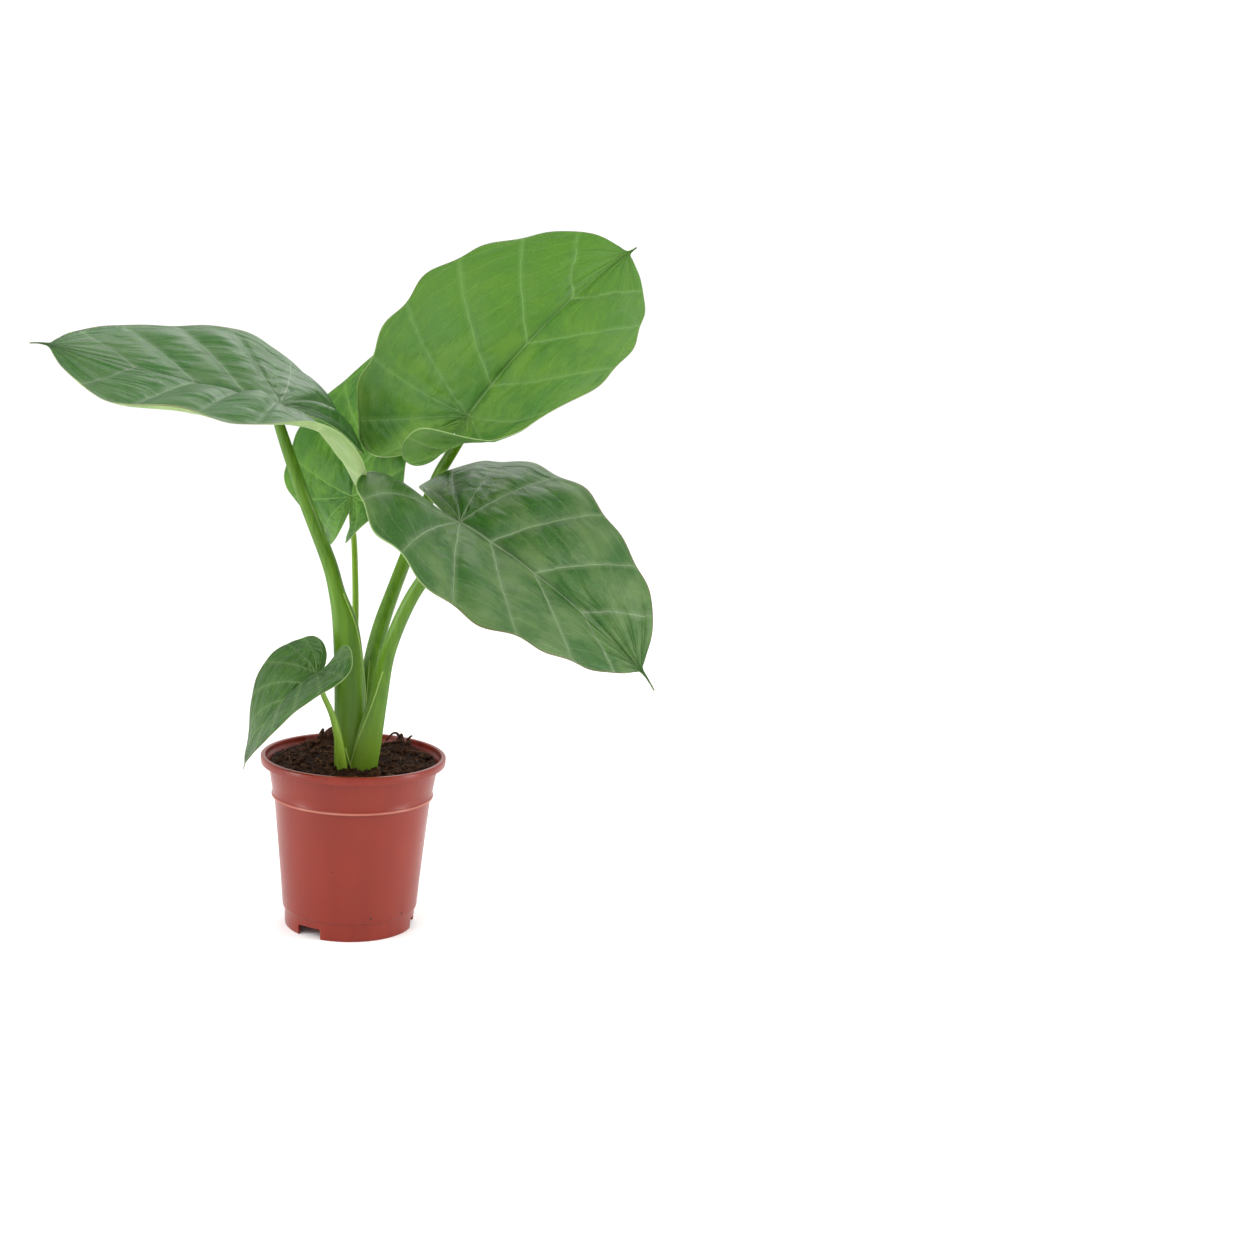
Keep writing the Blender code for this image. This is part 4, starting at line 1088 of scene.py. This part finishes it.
def pot_mesh():
    """The turned wall, with the mould's faint ribs under the lip."""
    bm = bmesh.new()
    rows = []
    for r, z in pot_profile:
        row = []
        for s in range(POT_STEPS if r > 0 else 1):
            a = 2 * math.pi * s / POT_STEPS
            rr = r * MM
            if 102.0 < z < 108.2 and 50.0 < r < 55.0:
                off = abs(((math.degrees(a) + 3.5) % RIB_EVERY) - RIB_EVERY / 2) * math.radians(1.0) * rr
                rr += RIB_OUT * max(0.0, 1.0 - off / RIB_HALF)
            row.append(bm.verts.new((rr * math.cos(a), rr * math.sin(a), z * MM)))
        rows.append(row)
    count = len(rows)
    for k in range(count):
        one, two = rows[k], rows[(k + 1) % count]
        for s in range(POT_STEPS):
            n = (s + 1) % POT_STEPS
            if len(one) == 1 and len(two) == 1:
                continue
            if len(one) == 1:
                bm.faces.new((one[0], two[s], two[n]))
            elif len(two) == 1:
                bm.faces.new((one[s], two[0], one[n]))
            else:
                bm.faces.new((one[s], two[s], two[n], one[n]))
    bmesh.ops.recalc_face_normals(bm, faces=bm.faces)
    return mesh_from(bm, "pot wall")


print("pot profile:", len(pot_profile), "points")


# %% [markdown]
# ## Moulded plastic
# The plastic is a dusty brick red with a satin gloss. Moulding leaves it a very fine orange-peel surface and faint
# upright streaks. Handling leaves pale scuffs, and watering leaves specks of soil on the lip and near the foot. Each
# of these is one mask, mixed over the red in the order in which it happened to the pot, so each can be changed alone.
# A paler band along the stacking ridge is a painted highlight, with a mask of its own.

# %% Plastic material
RIDGE_Z = 0.0879
plastic = bpy.data.materials.new("terracotta plastic")
plastic.use_nodes = True
tree = plastic.node_tree
shader = tree.nodes["Principled BSDF"]
place = add_node(tree, "ShaderNodeNewGeometry")
spot = add_node(tree, "ShaderNodeSeparateXYZ")
tree.links.new(place.outputs["Position"], spot.inputs[0])
stretch = add_node(tree, "ShaderNodeVectorMath", operation="MULTIPLY")
stretch.inputs[1].default_value = (1.0, 1.0, 0.10)
tree.links.new(place.outputs["Position"], stretch.inputs[0])
streaks = ramp_between(tree, noise_of(tree, stretch.outputs[0], 70.0, 4.0, 0.6), 0.30, 0.70)
clouds = ramp_between(tree, noise_of(tree, place.outputs["Position"], 24.0, 3.0), 0.3, 0.7)
red = mixed(tree, maths(tree, "MULTIPLY", streaks, 0.6), colour(119, 30, 13), colour(130, 37, 17))
red = mixed(tree, maths(tree, "MULTIPLY", clouds, 0.35), red, colour(108, 28, 13))
scuff = ramp_between(tree, noise_of(tree, stretch.outputs[0], 900.0, 2.0, 0.8), 0.70, 0.86)
red = mixed(tree, maths(tree, "MULTIPLY", scuff, 0.16), red, colour(176, 116, 98))
# Painted highlight: a thin band along the stacking ridge is painted a paler red, standing in for the light that its
# edge catches.
ridge = maths(tree, "ABSOLUTE", maths(tree, "SUBTRACT", spot.outputs["Z"], RIDGE_Z))
on_ridge = ramp_between(tree, ridge, 0.0003, 0.0010, 1.0, 0.0)
painted_ridge_highlight = maths(tree, "MULTIPLY", on_ridge, maths(tree, "ADD", maths(tree, "MULTIPLY", clouds, 0.25), 0.3))
red = mixed(tree, painted_ridge_highlight, red, colour(196, 128, 108))
dots = add_node(tree, "ShaderNodeTexVoronoi", feature="F1")
dots.inputs["Scale"].default_value = 150.0
tree.links.new(place.outputs["Position"], dots.inputs["Vector"])
speck = ramp_between(tree, dots.outputs["Distance"], 0.10, 0.16, 1.0, 0.0)
chance = add_node(tree, "ShaderNodeSeparateColor")
tree.links.new(dots.outputs["Color"], chance.inputs[0])
low_down = ramp_between(tree, spot.outputs["Z"], 0.030, 0.004)
up_high = ramp_between(tree, spot.outputs["Z"], 0.1075, 0.1125)
on_lip = maths(tree, "ADD", maths(tree, "MULTIPLY", up_high, 0.22), 0.004)
where = maths(tree, "ADD", maths(tree, "MULTIPLY", low_down, 0.16), on_lip)
speck = maths(tree, "MULTIPLY", speck, maths(tree, "LESS_THAN", chance.outputs[0], where))
red = mixed(tree, speck, red, colour(58, 36, 28))
tree.links.new(red, shader.inputs["Base Color"])
dulled = maths(tree, "ADD", maths(tree, "MULTIPLY", speck, 0.4), 0.27)
rough = maths(tree, "ADD", maths(tree, "MULTIPLY", clouds, 0.08), dulled)
tree.links.new(rough, shader.inputs["Roughness"])
peel = noise_of(tree, place.outputs["Position"], 1400.0, 2.0)
peel = maths(tree, "ADD", peel, maths(tree, "MULTIPLY", streaks, 0.3))
tree.links.new(bumped(tree, peel, 0.25, 0.0002), shader.inputs["Normal"])
shader.inputs["Subsurface Weight"].default_value = 0.05
shader.inputs["Subsurface Scale"].default_value = 0.002
shader.inputs["Specular IOR Level"].default_value = 0.36

print("plastic:", len(tree.nodes), "nodes")

# %% [markdown]
# ## Notches and drains
# Water leaves through notches in the foot and holes in the raised floor. They could be built into the turned wall, but
# cutting them keeps that wall a plain turned shape. A box with bevelled edges leaves the rounded corners of a moulding.

# %% Cut the notches and drains
FOOT_R, NOTCH_W, NOTCH_H = 42.2 * MM, 18.0 * MM, 7.0 * MM
NOTCH_ANGLES = (-128.0, -8.0, 112.0)
DRAIN_RING, DRAIN_R, DRAIN_Z = 27.0 * MM, 4.0 * MM, 8.2 * MM


def cutting_tool(bm, name, at, turn=0.0):
    obj = bpy.data.objects.new(name, mesh_from(bm, name))
    bpy.context.scene.collection.objects.link(obj)
    obj.location = at
    obj.rotation_euler = (0, 0, turn)
    return obj


pot = piece("nursery_pot", pot_mesh(), [plastic], ["pot"])
cutters = []
for angle in NOTCH_ANGLES:
    turn = math.radians(angle)
    bm = bmesh.new()
    bmesh.ops.create_cube(bm, size=1.0)
    bmesh.ops.scale(bm, vec=(14.0 * MM, NOTCH_W, NOTCH_H + 2.0 * MM), verts=bm.verts)
    bmesh.ops.bevel(bm, geom=bm.edges[:], offset=0.8 * MM, segments=3, affect="EDGES")
    at = (FOOT_R * math.cos(turn), FOOT_R * math.sin(turn), NOTCH_H / 2 - MM)
    cutters.append(cutting_tool(bm, "notch cutter", at, turn))
    bm = bmesh.new()
    bmesh.ops.create_cone(bm, cap_ends=True, segments=48, radius1=DRAIN_R, radius2=DRAIN_R, depth=6.0 * MM)
    turn += math.radians(60.0)
    at = (DRAIN_RING * math.cos(turn), DRAIN_RING * math.sin(turn), DRAIN_Z)
    cutters.append(cutting_tool(bm, "drain cutter", at))
for cutter in cutters:
    cut = pot.modifiers.new("cut", "BOOLEAN")
    cut.operation = "DIFFERENCE"
    cut.object = cutter
settled(pot)
for cutter in cutters:
    bpy.data.objects.remove(cutter, do_unlink=True)
pot.data.shade_smooth()
pot.data.set_sharp_from_angle(angle=math.radians(40))
print(pot.name, len(pot.data.polygons), "faces")

# %% [markdown]
# ## Studio
# The photograph has a cut-out look: a white sweep, light from all round, and hardly a shadow. A white floor under an
# even white sky gives that, with two broad lamps above to shape the leaves, one behind to glow through them, and a tall
# strip on each side that draws the soft upright bands on the pot. A backdrop that curves up would do too, but it would
# stand in the way of the views from behind.

# %% Floor, sky and lamps
bm = bmesh.new()
bmesh.ops.create_grid(bm, x_segments=2, y_segments=2, size=6.0)
mesh = mesh_from(bm, "floor")
floor = bpy.data.objects.new("floor", mesh)
bpy.context.scene.collection.objects.link(floor)
paper = bpy.data.materials.new("white paper")
paper.use_nodes = True
tree = paper.node_tree
place = add_node(tree, "ShaderNodeNewGeometry")
shader = tree.nodes["Principled BSDF"]
uneven = noise_of(tree, place.outputs["Position"], 3.0)
white = mixed(tree, uneven, colour(248, 248, 248), colour(252, 252, 252))
tree.links.new(white, shader.inputs["Base Color"])
shader.inputs["Roughness"].default_value = 0.9
mesh.materials.append(paper)

sky = bpy.data.worlds.new("white studio")
bpy.context.scene.world = sky
sky.use_nodes = True
sky.node_tree.nodes["Background"].inputs["Color"].default_value = (1.0, 1.0, 1.0, 1.0)
sky.node_tree.nodes["Background"].inputs["Strength"].default_value = 1.08
bpy.context.scene.view_settings.view_transform = "Standard"


def lamp(name, at, aim, size, power):
    """A square lamp at one place that looks at another."""
    light = bpy.data.lights.new(name, "AREA")
    light.shape = "SQUARE"
    light.size = size
    light.energy = power
    obj = bpy.data.objects.new(name, light)
    bpy.context.scene.collection.objects.link(obj)
    obj.location = at
    obj.rotation_euler = (Vector(aim) - Vector(at)).to_track_quat("-Z", "Y").to_euler()
    return obj


lamp("softbox above left", (-0.9, -0.9, 1.5), (0.0, 0.0, 0.25), 0.9, 8.0)
lamp("softbox above right", (1.1, -0.5, 1.2), (0.0, 0.0, 0.25), 0.8, 4.0)
lamp("back glow", (0.3, 1.2, 1.3), (0.0, 0.0, 0.3), 0.9, 6.0)
for side_of in (-1, 1):
    strip = lamp("strip light", (0.75 * side_of, -0.25, 0.22), (0.0, 0.0, 0.12), 0.16, 4.6)
    strip.data.shape = "RECTANGLE"
    strip.data.size_y = 0.9
print("lamps:", len(bpy.data.lights))
